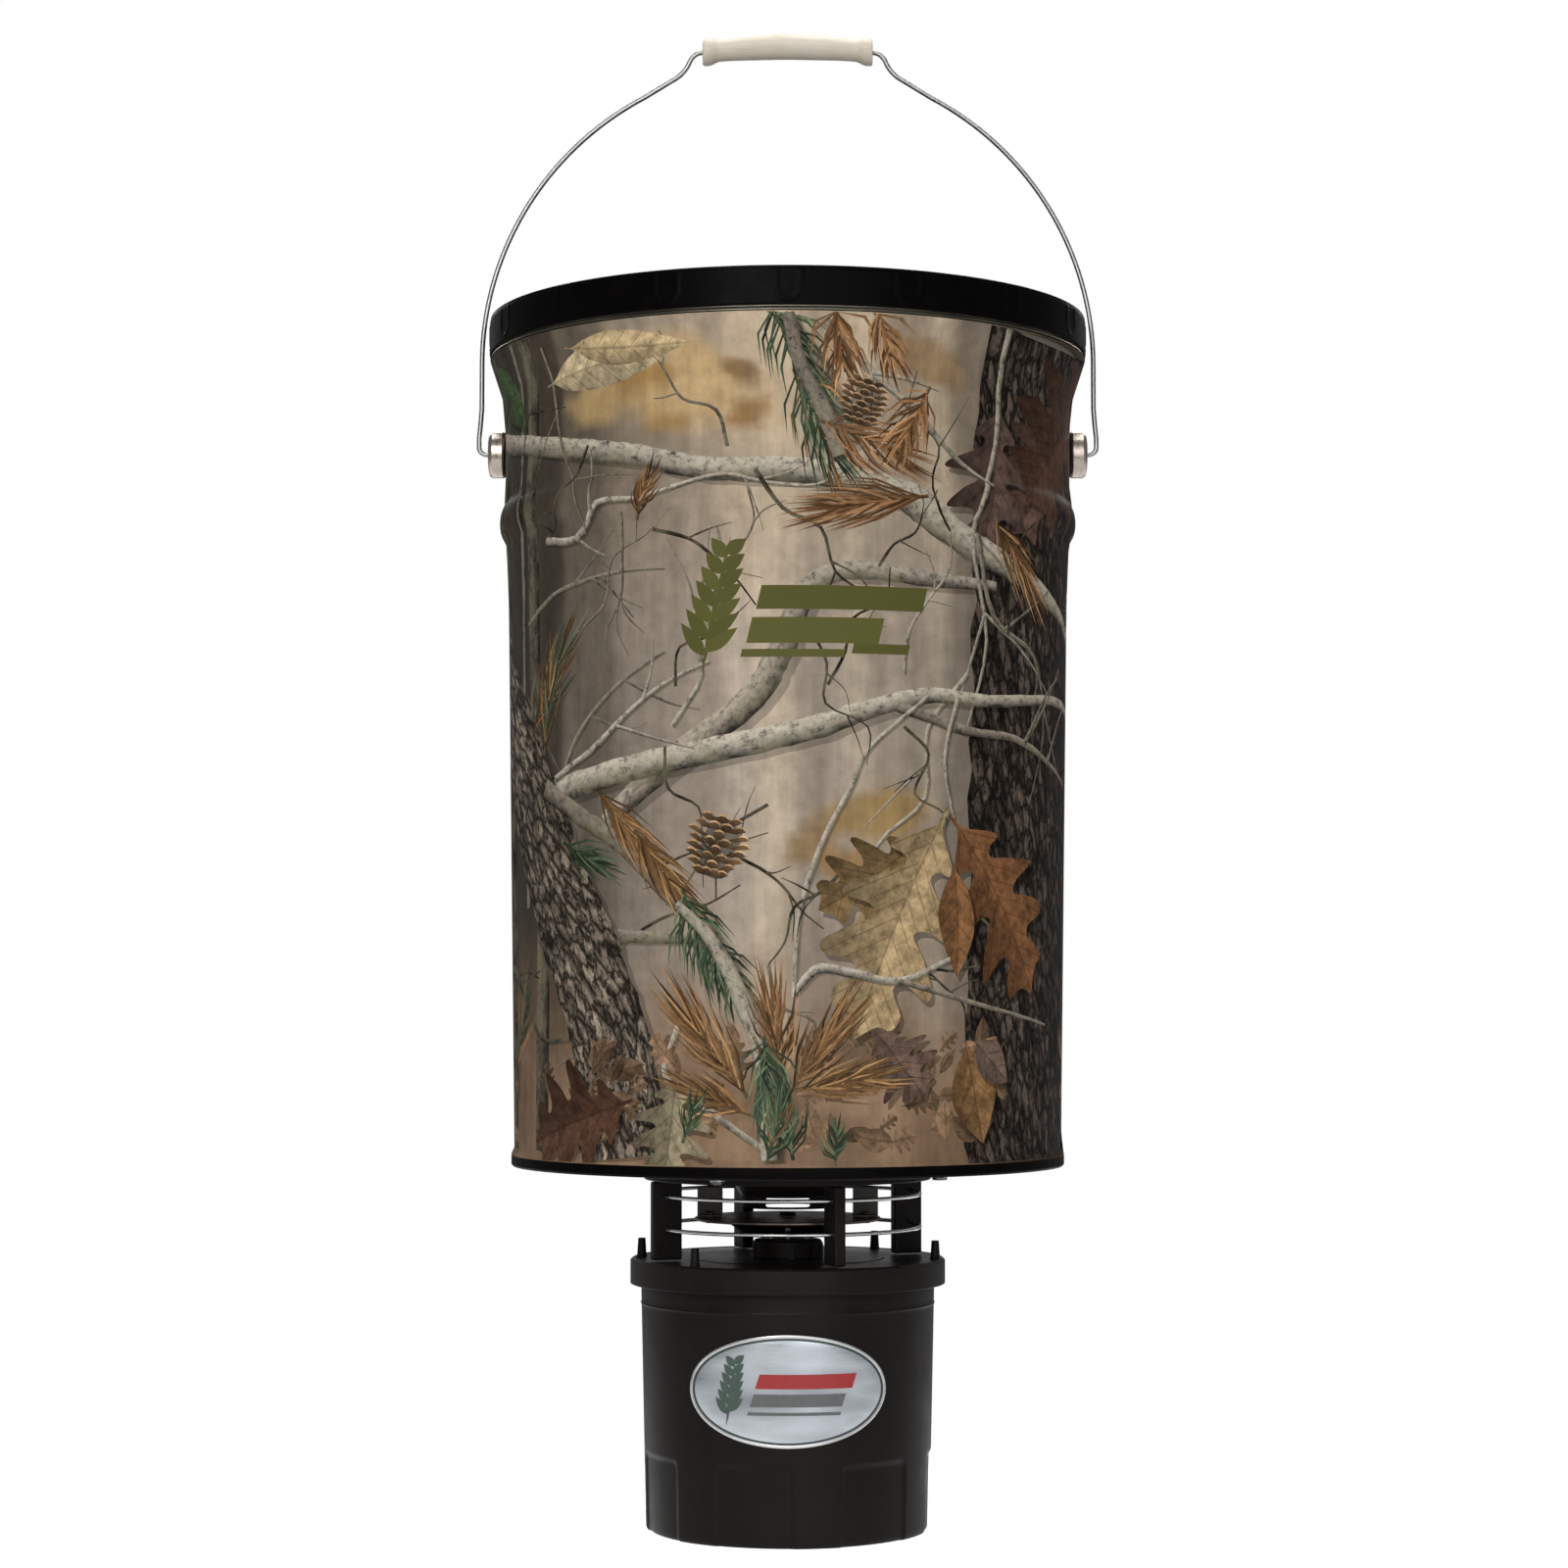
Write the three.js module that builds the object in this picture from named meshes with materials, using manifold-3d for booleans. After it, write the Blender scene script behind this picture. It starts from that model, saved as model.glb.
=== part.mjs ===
// Hanging game feeder: a lidded steel pail of grain above a battery-driven spinner kit.
// Millimetres, +Z up, front towards -Y. The origin is the centre of the canister's flat underside.
// Azimuths are in degrees, counted from the front (-Y) towards +X.

import * as THREE from "three";
import { mergeVertices } from "three/addons/utils/BufferGeometryUtils.js";
import Module from "manifold-3d";

const wasm = await Module();
wasm.setup();

// ---------- driving dimensions ----------

const gap = 0.3; // clearance kept between pieces that touch
const roundSides = 40; // facets round the large turned pieces
const smallSides = 12; // facets round screws, buttons and other small turned pieces

const canister = {
  bottomRadius: 75.8,
  topRadius: 78.7,
  height: 131,
  neckRadius: 77.7,
  neckTop: 137.8,
  wall: 2.2,
  floor: 2.5,
  footChamfer: 1.6,
  ridgeZ: 120,
  ridge: 0.5,
  fluteCount: 7,
  fluteCentre: -13.8,
  fluteWidth: 33.6,
  fluteTop: 43,
  fluteRound: 4,
  fluteDepth: 1.2,
};
const badge = { width: 108.5, height: 58.2, thickness: 1.1, z: 81, standOff: 0.6 };
const seal = { inner: 74.5, outer: 78.5, bottom: canister.neckTop + gap, top: 140.2 };
const plate = { radius: 84.5, underside: 140.5, top: 144, edge: 1.2, motorHole: 14.6 };
const skirt = { bottom: 130.5, wall: 2.5 };
const post = { radius: 79.5, footRadius: 2.5, tipRadius: 2, height: 9.5, azimuths: [-37.4, 82.6, 142.6, 262.6] };
const leg = { inner: 61, outer: 77, thickness: 6.3, top: 185.7, azimuths: [20.7, 110.7, 200.7, 290.7] };
const guard = { radius: 71, wire: 1.1, lowerZ: 160.5, upperZ: 178 };
const flange = { radius: 100, bottom: 190, top: 193.3, bevel: 1.4, hole: 32.3 };
const collar = { inner: 60, outer: 77, bottom: 186 };
const funnel = { lipRadius: 45, lipTop: 197.3, throat: 31.9, coneTop: 186, coneBottom: 177.6 };
const spout = { radius: 25.5, wall: 2, bottom: 170.8, windowWidth: 23.4, windowBottom: 172, windowTop: 176.8 };
const boss = { radius: 18.5, wall: 2.5, top: 153.6, roof: 2.5, shaftHole: 4 };
const motor = { radius: 13.8, bottom: 121.5, top: 150.8, capHeight: 2.7 };
const motorFixing = { offset: 9.5, hole: 1.8, shank: 1.5, head: 2.8, headTop: 2, headHeight: 1.5 };
const shaft = { radius: 1.6, bottom: 151.1, top: 168.4 };
const hub = { bottomRadius: 23.5, topRadius: 32, bottom: 156.1, top: 163.6, bore: 1.9 };
const setScrew = { hole: 1.8, radius: 1.45, start: 2.3, end: 12, z: hub.bottom + 3.6 };
const spinner = { radius: 50, bottom: 163.9, thickness: 1.6, boreRadius: 1.9 };
const fin = { inner: 35, outer: 48.6, height: 15.6, sheet: 1.2, foot: 9, overlap: 0.5 };
const rivet = { x: 42, y: -4.9, hole: 1.7, shank: 1.35, under: 2.6, head: 2.8, headHeight: 1.5 };
const shaftNut = { flat: 4.2, height: 2.4 };
const pail = { bottomPlateRadius: 144.5, bottomZ: 193.6, bottomSheet: 1.4, wall: 0.9 };
const flangeScrew = { circle: 88, radius: 2.2, hole: 2.6, headRadius: 4.2, headHeight: 2.6, count: 4, turn: 65.7 };
const flangeNutSize = { flat: 4.6, height: 3.2 };
const rim = { top: 646, outer: 160.4, inner: 158.6 };
const ear = { radius: 12.7, depth: 9, base: 153.5, z: 578, bore: 1.9, boreFloor: 3 };
const bail = { wire: 1.35, side: 166.6, arcZ: 628, arcEnd: 62, hookX: 168, hookBend: 4.2 };
const grip = { half: 46.5, endZ: 800, bow: 3, bore: 1.75, waist: 6.1, middle: 6.7, flare: 7.6 };
const lid = { radius: 162.4, wall: 1.4, bottom: 629.6, top: 650, panelZ: 638.8, panel: 1.2, wellRadius: 155.6 };
const gasket = { inner: 156.3, outer: 160.3, bottom: rim.top + gap, top: 648 };
const battery = { side: 67.6, height: 97, bottom: 9.8, y: 14, chamfer: 2.5 };
const carrier = { sheet: 2, bottom: 7.5, depth: 32, tabLength: 10 };
const spring = { foot: 7, tip: 3.2, height: 8.6 };
const clip = { half: 4, height: 2.4 };
const leadRadius = 0.8;
const timer = { width: 70, bottom: 66, top: 138, front: -60, back: -30, wall: 2 };
const display = { width: 47, height: 24, z: 116 };
const button = { radius: 3.8, hole: 4.2, proud: 1.6, z: 86, pitch: 16, flange: 5.2 };

// ---------- materials ----------

function finish(colour, roughness, metalness) {
  return new THREE.MeshStandardMaterial({ color: colour, roughness, metalness });
}

const materials = {
  printedSteel: finish(0xa89274, 0.5, 0.1),
  bareSteel: finish(0x8d8a84, 0.45, 0.9),
  blackPlastic: finish(0x24201e, 0.42, 0.0),
  blackSteel: finish(0x14110f, 0.4, 0.3),
  zincPlate: finish(0xb9bbbd, 0.3, 1.0),
  galvanised: finish(0x9c9d9e, 0.4, 0.9),
  nickel: finish(0xb8a791, 0.35, 0.9),
  cream: finish(0xe6dfce, 0.55, 0.0),
  silverBadge: finish(0xc9cacc, 0.3, 0.8),
  rubber: finish(0x1b1b1b, 0.8, 0.0),
  copper: finish(0xa5653f, 0.4, 0.9),
  batteryBlue: finish(0x24405e, 0.5, 0.1),
  greenBoard: finish(0x1f5a34, 0.5, 0.1),
  greyButton: finish(0x8a8f94, 0.6, 0.0),
  displayGlass: finish(0x9aa68c, 0.2, 0.0),
  redLead: finish(0xb0261e, 0.5, 0.0),
  blackLead: finish(0x1a1a1c, 0.5, 0.0),
};

// ---------- mesh helpers ----------

// Keeps positions only, joins shared vertices, drops collapsed triangles and turns the faces outwards.
function weld(geometry) {
  const bare = geometry.clone();
  bare.deleteAttribute("normal");
  bare.deleteAttribute("uv");
  const merged = mergeVertices(bare, 1e-3);
  const position = merged.getAttribute("position");
  const source = merged.getIndex().array;
  const kept = [];
  let volume = 0;
  const a = new THREE.Vector3();
  const b = new THREE.Vector3();
  const c = new THREE.Vector3();
  for (let i = 0; i < source.length; i += 3) {
    const [p, q, r] = [source[i], source[i + 1], source[i + 2]];
    if (p === q || q === r || r === p) continue;
    kept.push(p, q, r);
    a.fromBufferAttribute(position, p);
    b.fromBufferAttribute(position, q);
    c.fromBufferAttribute(position, r);
    volume += a.dot(b.cross(c));
  }
  if (volume < 0) {
    kept.reverse();
  }
  merged.setIndex(kept);
  return merged;
}

function toSolid(geometry) {
  const welded = weld(geometry);
  const vertProperties = new Float32Array(welded.getAttribute("position").array);
  const triVerts = new Uint32Array(welded.getIndex().array);
  return new wasm.Manifold(new wasm.Mesh({ numProp: 3, vertProperties, triVerts }));
}

function toGeometry(solid) {
  const mesh = solid.getMesh();
  const geometry = new THREE.BufferGeometry();
  geometry.setAttribute("position", new THREE.BufferAttribute(new Float32Array(mesh.vertProperties), 3));
  geometry.setIndex(Array.from(mesh.triVerts));
  return geometry;
}

function cut(geometry, cutters) {
  const result = cutters.reduce((solid, cutter) => solid.subtract(toSolid(cutter)), toSolid(geometry));
  return toGeometry(result);
}

function join(geometries) {
  const [first, ...others] = geometries.map(toSolid);
  return toGeometry(others.reduce((solid, other) => solid.add(other), first));
}

// A piece turned about +Z from an outline of [radius, height] pairs.
function turned(outline, sides = roundSides) {
  const closed = outline[0][0] === 0 ? outline : [...outline, outline[0]];
  const points = closed.map(([r, z]) => new THREE.Vector2(r, z));
  return new THREE.LatheGeometry(points, sides).rotateX(Math.PI / 2);
}

function ring(inner, outer, bottom, top, sides = roundSides) {
  const outline = [[inner, bottom], [outer, bottom], [outer, top], [inner, top]];
  return turned(outline, sides);
}

function rod(radius, bottom, top, sides = smallSides) {
  return turned([[0, bottom], [radius, bottom], [radius, top], [0, top]], sides);
}

function block(low, high) {
  const size = high.map((value, i) => value - low[i]);
  const centre = high.map((value, i) => (value + low[i]) / 2);
  return new THREE.BoxGeometry(...size).translate(...centre);
}

const radians = THREE.MathUtils.degToRad;
const hexCorner = 1 / Math.cos(Math.PI / 6); // a hexagon's corner radius over its flat radius

// Turns a geometry from the front to the given azimuth.
function toAzimuth(geometry, azimuth) {
  return geometry.rotateZ(radians(azimuth));
}

function polygon(radius, sides) {
  const corner = (i) => 2 * Math.PI * ((i + 0.5) / sides);
  const points = Array.from({ length: sides }, (_, i) => corner(i));
  return new THREE.Shape(points.map((t) => new THREE.Vector2(radius * Math.cos(t), radius * Math.sin(t))));
}

// A path whose sweep takes one step for each of its own points.
class PointPath extends THREE.Curve {
  constructor(points) {
    super();
    this.points = points;
  }

  getPoint(t) {
    const place = Math.min(Math.max(t, 0), 1) * (this.points.length - 1);
    const first = Math.min(Math.floor(place), this.points.length - 2);
    return this.points[first].clone().lerp(this.points[first + 1], place - first);
  }

  getUtoTmapping(u) {
    return u;
  }
}

function swept(points, radius, sides) {
  const path = new PointPath(points);
  return new THREE.ExtrudeGeometry(polygon(radius, sides), { steps: points.length - 1, extrudePath: path });
}

// ---------- canister ----------

function canisterRadius(z) {
  const slope = (canister.topRadius - canister.bottomRadius) / canister.height;
  return canister.bottomRadius + slope * Math.min(z, canister.height);
}

function fluteDepthAt(azimuth, z) {
  const pitch = 360 / canister.fluteCount;
  const turn = THREE.MathUtils.euclideanModulo(azimuth - canister.fluteCentre + pitch / 2, pitch) - pitch / 2;
  const side = 1 - THREE.MathUtils.smoothstep(Math.abs(turn), canister.fluteWidth / 2 - 3, canister.fluteWidth / 2);
  const upper = 1 - THREE.MathUtils.smoothstep(z, canister.fluteTop - canister.fluteRound, canister.fluteTop);
  return canister.fluteDepth * side * upper;
}

function canisterCup() {
  const { wall, floor, footChamfer, ridgeZ, ridge, height, neckRadius, neckTop, fluteTop } = canister;
  const outerHeights = [footChamfer, fluteTop - 5, fluteTop - 2.5, fluteTop + 0.5, ridgeZ];
  const outer = outerHeights.map((z) => [canisterRadius(z), z]);
  const outline = [
    [0, 0],
    [canisterRadius(0) - footChamfer, 0],
    ...outer,
    [canisterRadius(ridgeZ) + ridge, ridgeZ + 0.6],
    [canisterRadius(height), height],
    [neckRadius, height + 0.6],
    [neckRadius, neckTop],
    [neckRadius - wall, neckTop],
    [canisterRadius(ridgeZ) - wall, ridgeZ],
    [canisterRadius(floor) - wall - 1.5, floor + 1.5],
    [canisterRadius(floor) - wall - 3, floor],
    [0, floor],
  ];
  const cup = turned(outline, canister.fluteCount * 6);
  const position = cup.getAttribute("position");
  for (let i = 0; i < position.count; i += 1) {
    const [x, y, z] = [position.getX(i), position.getY(i), position.getZ(i)];
    const radius = Math.hypot(x, y);
    if (radius < canisterRadius(z) - 0.1 || z > canister.fluteTop) continue;
    const azimuth = THREE.MathUtils.radToDeg(Math.atan2(x, -y));
    const scale = 1 - fluteDepthAt(azimuth, z) / radius;
    position.setXY(i, x * scale, y * scale);
  }
  return cup;
}

// An oval plate, bent to the canister's curve.
function canisterBadge() {
  const steps = Array.from({ length: 6 }, (_, i) => i / 5);
  const outline = [...steps.map((r) => [r, 0]), ...steps.map((r) => [r, 1]).reverse()];
  const oval = turned(outline, 24);
  const position = oval.getAttribute("position");
  for (let i = 0; i < position.count; i += 1) {
    const z = badge.z + (position.getY(i) * badge.height) / 2;
    const angle = (position.getX(i) * badge.width) / 2 / canisterRadius(badge.z);
    const radius = canisterRadius(z) + badge.standOff + position.getZ(i) * badge.thickness;
    position.setXYZ(i, radius * Math.sin(angle), -radius * Math.cos(angle), z);
  }
  return oval;
}

// ---------- spinner housing ----------

function topPlate() {
  const { radius, underside, top, edge, motorHole } = plate;
  const body = turned([
    [motorHole, underside],
    [radius, underside],
    [radius, top - edge],
    [radius - edge, top],
    [motorHole, top],
  ]);
  const posts = post.azimuths.map((azimuth) => {
    const stub = turned([
      [0, top - 1],
      [post.footRadius, top - 1],
      [post.footRadius, top],
      [post.tipRadius, top + post.height],
      [0, top + post.height],
    ], 12);
    return toAzimuth(stub.translate(0, -post.radius, 0), azimuth);
  });
  return join([body, ...posts]);
}

// The plate's rim, which hangs round the canister's neck.
function plateSkirt() {
  return ring(plate.radius - skirt.wall, plate.radius, skirt.bottom, plate.underside - gap);
}

function guardRing(z, thickness = guard.wire, sides = 6) {
  return new THREE.TorusGeometry(guard.radius, thickness, sides, 36).translate(0, 0, z);
}

// A radial rib with a bore for each guard ring.
function housingLeg(azimuth) {
  const half = leg.thickness / 2;
  const low = [-half, -leg.outer, plate.top + gap];
  const rib = toAzimuth(block(low, [half, -leg.inner, leg.top]), azimuth);
  const bore = guard.wire + gap;
  return cut(rib, [guardRing(guard.lowerZ, bore, 6), guardRing(guard.upperZ, bore, 6)]);
}

const flangeScrewAzimuths = Array.from(
  { length: flangeScrew.count },
  (_, i) => flangeScrew.turn + (i * 360) / flangeScrew.count,
);

function screwHoles(bottom, top) {
  return flangeScrewAzimuths.map((azimuth) => {
    const hole = rod(flangeScrew.hole, bottom - 1, top + 1, 10);
    return toAzimuth(hole.translate(0, -flangeScrew.circle, 0), azimuth);
  });
}

function mountFlange() {
  const { radius, bottom, top, bevel, hole } = flange;
  const body = turned([
    [hole, bottom],
    [collar.inner, bottom],
    [collar.inner, collar.bottom],
    [collar.outer, collar.bottom],
    [collar.outer, bottom],
    [radius - bevel, bottom],
    [radius, bottom + bevel],
    [radius, top],
    [hole, top],
  ]);
  return cut(body, screwHoles(bottom, top));
}

function flangeFastener(azimuth) {
  const headTop = flange.bottom - gap;
  const outline = [
    [0, headTop - flangeScrew.headHeight],
    [flangeScrew.headRadius - 1, headTop - flangeScrew.headHeight],
    [flangeScrew.headRadius, headTop - 1],
    [flangeScrew.headRadius, headTop],
    [flangeScrew.radius, headTop],
    [flangeScrew.radius, pail.bottomZ + 7],
    [0, pail.bottomZ + 7],
  ];
  return toAzimuth(turned(outline, 12).translate(0, -flangeScrew.circle, 0), azimuth);
}

function flangeNut(azimuth) {
  const bottom = pail.bottomZ + pail.bottomSheet + gap;
  const { flat, height } = flangeNutSize;
  const nut = ring((flangeScrew.radius + gap) * hexCorner, flat, bottom, bottom + height, 6);
  return toAzimuth(nut.translate(0, -flangeScrew.circle, 0), azimuth);
}

// The throat that passes through the pail's bottom, with a windowed spout above the spinner.
function grainFunnel() {
  const lipBottom = pail.bottomZ + pail.bottomSheet + gap;
  const { lipRadius, lipTop, throat, coneTop, coneBottom } = funnel;
  const { radius, wall, bottom, windowWidth, windowBottom, windowTop } = spout;
  const body = turned([
    [radius - wall, bottom],
    [radius, bottom],
    [radius, coneBottom],
    [throat - 0.9, coneTop],
    [throat, coneTop + 0.5],
    [throat, lipBottom],
    [lipRadius, lipBottom],
    [lipRadius, lipBottom + 1],
    [lipRadius - 2, lipTop],
    [throat - wall, lipTop - 6],
    [throat - wall - 0.9, coneTop],
    [radius - wall, coneBottom],
  ], 32);
  const half = windowWidth / 2;
  const window = block([-half, -radius - 5, windowBottom], [half, radius + 5, windowTop]);
  return cut(body, [window]);
}

// ---------- motor and spinner ----------

function motorBoss() {
  const { radius, wall, top, roof, shaftHole } = boss;
  const body = turned([
    [radius - wall, plate.top + gap],
    [radius, plate.top + gap],
    [radius, top - 1],
    [radius - 1, top],
    [shaftHole, top],
    [shaftHole, top - roof],
    [radius - wall, top - roof],
  ], 24);
  const holes = [-1, 1].map((side) => {
    return rod(motorFixing.hole, top - roof - 1, top + 1, 10).translate(side * motorFixing.offset, 0, 0);
  });
  return cut(body, holes);
}

function motorScrew(side) {
  const { shank, head, headTop, headHeight, offset } = motorFixing;
  const bottom = motor.top + gap;
  const seat = boss.top + gap;
  const screw = turned([
    [0, bottom],
    [shank, bottom],
    [shank, seat],
    [head, seat],
    [head, seat + headHeight * 0.6],
    [headTop, seat + headHeight],
    [0, seat + headHeight],
  ], smallSides);
  return screw.translate(side * offset, 0, 0);
}

function spinnerHub() {
  const { bottomRadius, topRadius, bottom, top, bore } = hub;
  const cone = turned([
    [bore, bottom],
    [bottomRadius, bottom],
    [topRadius, top - 1],
    [topRadius, top],
    [bore, top],
  ], 24);
  const screwWay = rod(setScrew.hole, 0, topRadius + 5, 10).rotateX(Math.PI / 2).translate(0, 0, setScrew.z);
  return cut(cone, [screwWay]);
}

function hubSetScrew() {
  return rod(setScrew.radius, setScrew.start, setScrew.end, 10).rotateX(Math.PI / 2).translate(0, 0, setScrew.z);
}

function rivetHole(side, bottom) {
  return rod(rivet.hole, bottom - 1, bottom + 3, 10).translate(side * rivet.x, rivet.y, 0);
}

function spinnerPlate() {
  const { radius, bottom, thickness, boreRadius } = spinner;
  const disc = ring(boreRadius, radius, bottom, bottom + thickness, 32);
  return cut(disc, [-1, 1].map((side) => rivetHole(side, bottom)));
}

// An angle bracket: its foot lies on the plate and its wall stands on a radius of the plate.
function spinnerFin(side) {
  const footBottom = spinner.bottom + spinner.thickness + gap;
  const wall = block([fin.inner, 0, footBottom], [fin.outer, fin.sheet, footBottom + fin.height]);
  const foot = block([fin.inner + 1, -fin.foot, footBottom], [fin.outer - 1, fin.overlap, footBottom + fin.sheet]);
  const bracket = side > 0 ? [wall, foot] : [wall, foot].map((g) => g.scale(-1, 1, 1));
  return cut(join(bracket), [rivetHole(side, footBottom)]);
}

function finRivet(side) {
  const under = spinner.bottom - gap;
  const over = spinner.bottom + spinner.thickness + gap + fin.sheet + gap;
  const { shank, head, headHeight, x, y } = rivet;
  const body = turned([
    [0, under - 1.2],
    [rivet.under - 0.8, under - 1.2],
    [rivet.under, under],
    [shank, under],
    [shank, over],
    [head, over],
    [head - 0.6, over + 1],
    [0, over + headHeight],
  ], smallSides);
  return body.translate(side * x, y, 0);
}

function spinnerNut() {
  const bottom = spinner.bottom + spinner.thickness + gap;
  return ring((shaft.radius + gap) * hexCorner, shaftNut.flat, bottom, bottom + shaftNut.height, 6);
}

// ---------- pail ----------

function pailShell() {
  const outer = [
    [145.4, 193.5],
    [147.6, 193.5],
    [148.4, 194.6],
    [148.4, 200.4],
    [146.8, 203],
    [151, 494],
    [152.4, 528],
    [155.4, 532.5],
    [156.2, 538.5],
    [155.4, 544.5],
    [152.7, 549.4],
    [153.3, 598],
    [153.9, 604],
    [161.6, 627.6],
    [rim.outer, 629.2],
    [rim.outer, rim.top],
    [rim.inner, rim.top],
  ];
  const inner = [
    [rim.inner, 629.4],
    [152.8, 604.4],
    [153.3 - pail.wall, 598],
    [152.7 - pail.wall, 549.4],
    [156.2 - pail.wall, 538.5],
    [152.4 - pail.wall, 528],
    [151 - pail.wall, 494],
    [145.6, 203],
  ];
  return turned([...outer, ...inner]);
}

function pailBottom() {
  const top = pail.bottomZ + pail.bottomSheet;
  const body = ring(flange.hole, pail.bottomPlateRadius, pail.bottomZ, top);
  return cut(body, screwHoles(pail.bottomZ, top));
}

// A round pressed cup with a blind bore for the end of the bail.
function pailEar(side) {
  const { radius, depth, base, z, bore, boreFloor } = ear;
  const cup = turned([
    [0, 0],
    [radius, 0],
    [radius, depth - 3],
    [radius - 1, depth - 1],
    [radius - 3.4, depth],
    [bore, depth],
    [bore, boreFloor],
    [0, boreFloor],
  ], 20);
  return cup.rotateY((side * Math.PI) / 2).translate(side * base, 0, z);
}

// ---------- bail ----------

function bowZ(x) {
  return grip.endZ + grip.bow * (1 - (x / grip.half) ** 2);
}

// The right half of the bail, from its pivot end to the middle of the grip, as [x, z] pairs.
function bailHalf() {
  const { side, arcZ, arcEnd, hookX, hookBend } = bail;
  const half = [[157.1, ear.z], [160.5, ear.z]];
  for (let turn = 0; turn <= 90; turn += 30) {
    const angle = radians(turn);
    half.push([hookX - hookBend * (1 - Math.sin(angle)), ear.z + hookBend * (1 - Math.cos(angle))]);
  }
  half.push([hookX, ear.z + 9], [hookX - 0.7, ear.z + 16], [side, ear.z + 25], [side, arcZ]);
  const arcSteps = 10;
  for (let i = 1; i <= arcSteps; i += 1) {
    const angle = radians((arcEnd * i) / arcSteps);
    half.push([side * Math.cos(angle), arcZ + side * Math.sin(angle)]);
  }
  half.push([62.5, 784.8], [58, 788.2], [55, 792], [52.6, 796.6], [49.6, 799.2], [grip.half, grip.endZ]);
  const gripSteps = 4;
  for (let i = gripSteps - 1; i >= 0; i -= 1) {
    const x = (grip.half * i) / gripSteps;
    half.push([x, bowZ(x)]);
  }
  return half;
}

function bailWire() {
  const right = bailHalf();
  const left = right.slice(0, -1).reverse().map(([x, z]) => [-x, z]);
  const route = [...right, ...left].map(([x, z]) => new THREE.Vector3(x, 0, z));
  return swept(route, bail.wire, 6);
}

// A moulded sleeve round the top of the bail, waisted near its flared ends and bowed upwards.
function bailGrip() {
  const { half, bore, waist, middle, flare } = grip;
  const outline = [
    [bore, -half],
    [flare - 0.8, -half],
    [flare, -half + 1.4],
    [waist, -half + 9],
    [middle, -half / 3],
    [middle, half / 3],
    [waist, half - 9],
    [flare, half - 1.4],
    [flare - 0.8, half],
    [bore, half],
    [bore, half / 2],
    [bore, 0],
    [bore, -half / 2],
  ];
  const sleeve = turned(outline, 12).rotateY(Math.PI / 2);
  const position = sleeve.getAttribute("position");
  for (let i = 0; i < position.count; i += 1) {
    position.setZ(i, position.getZ(i) + bowZ(position.getX(i)));
  }
  return sleeve;
}

// ---------- lid ----------

function pailLid() {
  const { radius, wall, bottom, top, panelZ, panel, wellRadius } = lid;
  return turned([
    [0, panelZ],
    [wellRadius, panelZ],
    [wellRadius, gasket.top + gap],
    [radius - wall, gasket.top + gap],
    [radius - wall, bottom],
    [radius, bottom],
    [radius, top - 2.6],
    [radius - 0.8, top - 0.8],
    [radius - 2.6, top],
    [wellRadius - wall + 0.4, top],
    [wellRadius - wall, top - 0.8],
    [wellRadius - wall, panelZ + panel],
    [112, panelZ + panel],
    [110, panelZ + panel + 1.6],
    [102, panelZ + panel + 1.6],
    [100, panelZ + panel],
    [0, panelZ + panel],
  ]);
}

// ---------- battery and timer ----------

function batteryCase() {
  const half = battery.side / 2;
  const inner = half - battery.chamfer;
  const corners = [[half, inner], [inner, half], [-inner, half], [-half, inner]];
  const outline = [...corners, ...corners.map(([x, y]) => [-x, -y])];
  const shape = new THREE.Shape(outline.map(([x, y]) => new THREE.Vector2(x, y)));
  const prism = new THREE.ExtrudeGeometry(shape, { depth: battery.height, bevelEnabled: false });
  return prism.translate(0, battery.y, battery.bottom);
}

const batteryTop = battery.bottom + battery.height;
const terminals = { left: [-18, battery.y + 16], right: [20, battery.y + 22] };

function batterySpring([x, y]) {
  const bottom = batteryTop + gap;
  const top = bottom + spring.height;
  return turned([[0, bottom], [spring.foot, bottom], [spring.tip, top], [0, top]], smallSides).translate(x, y, 0);
}

const clipBottom = batteryTop + gap + spring.height + gap;

function leadClip([x, y]) {
  const { half, height } = clip;
  return block([x - half, y - half, clipBottom], [x + half, y + half, clipBottom + height]);
}

// A strap under the battery, hung from two tabs below the top plate.
function batteryCarrier() {
  const inner = battery.side / 2 + gap;
  const outer = inner + carrier.sheet;
  const top = plate.underside - gap;
  const right = [
    [outer, carrier.bottom],
    [outer, top - carrier.sheet],
    [outer + carrier.tabLength, top - carrier.sheet],
    [outer + carrier.tabLength, top],
    [inner, top],
    [inner, carrier.bottom + carrier.sheet],
  ];
  const left = right.map(([x, z]) => [-x, z]).reverse();
  const shape = new THREE.Shape([...right, ...left].map(([x, z]) => new THREE.Vector2(x, z)));
  const strap = new THREE.ExtrudeGeometry(shape, { depth: carrier.depth, bevelEnabled: false });
  return strap.rotateX(Math.PI / 2).translate(0, battery.y + carrier.depth / 2, 0);
}

const buttonPlaces = [-1.5, -0.5, 0.5, 1.5].map((step) => step * button.pitch);

// A tray open at the back, with a window for the display and a hole for each button.
function timerCase() {
  const half = timer.width / 2;
  const { wall, front, back, bottom, top } = timer;
  const body = block([-half, front, bottom], [half, back, top]);
  const hollow = block([wall - half, front + wall, bottom + wall], [half - wall, back + 5, top - wall]);
  const { width, height, z } = display;
  const windowLow = [-width / 2 - gap, front - 5, z - height / 2 - gap];
  const window = block(windowLow, [width / 2 + gap, front + 5, z + height / 2 + gap]);
  const holes = buttonPlaces.map((x) => {
    return rod(button.hole, -5, 5, smallSides).rotateX(Math.PI / 2).translate(x, front, button.z);
  });
  return cut(body, [hollow, window, ...holes]);
}

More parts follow.
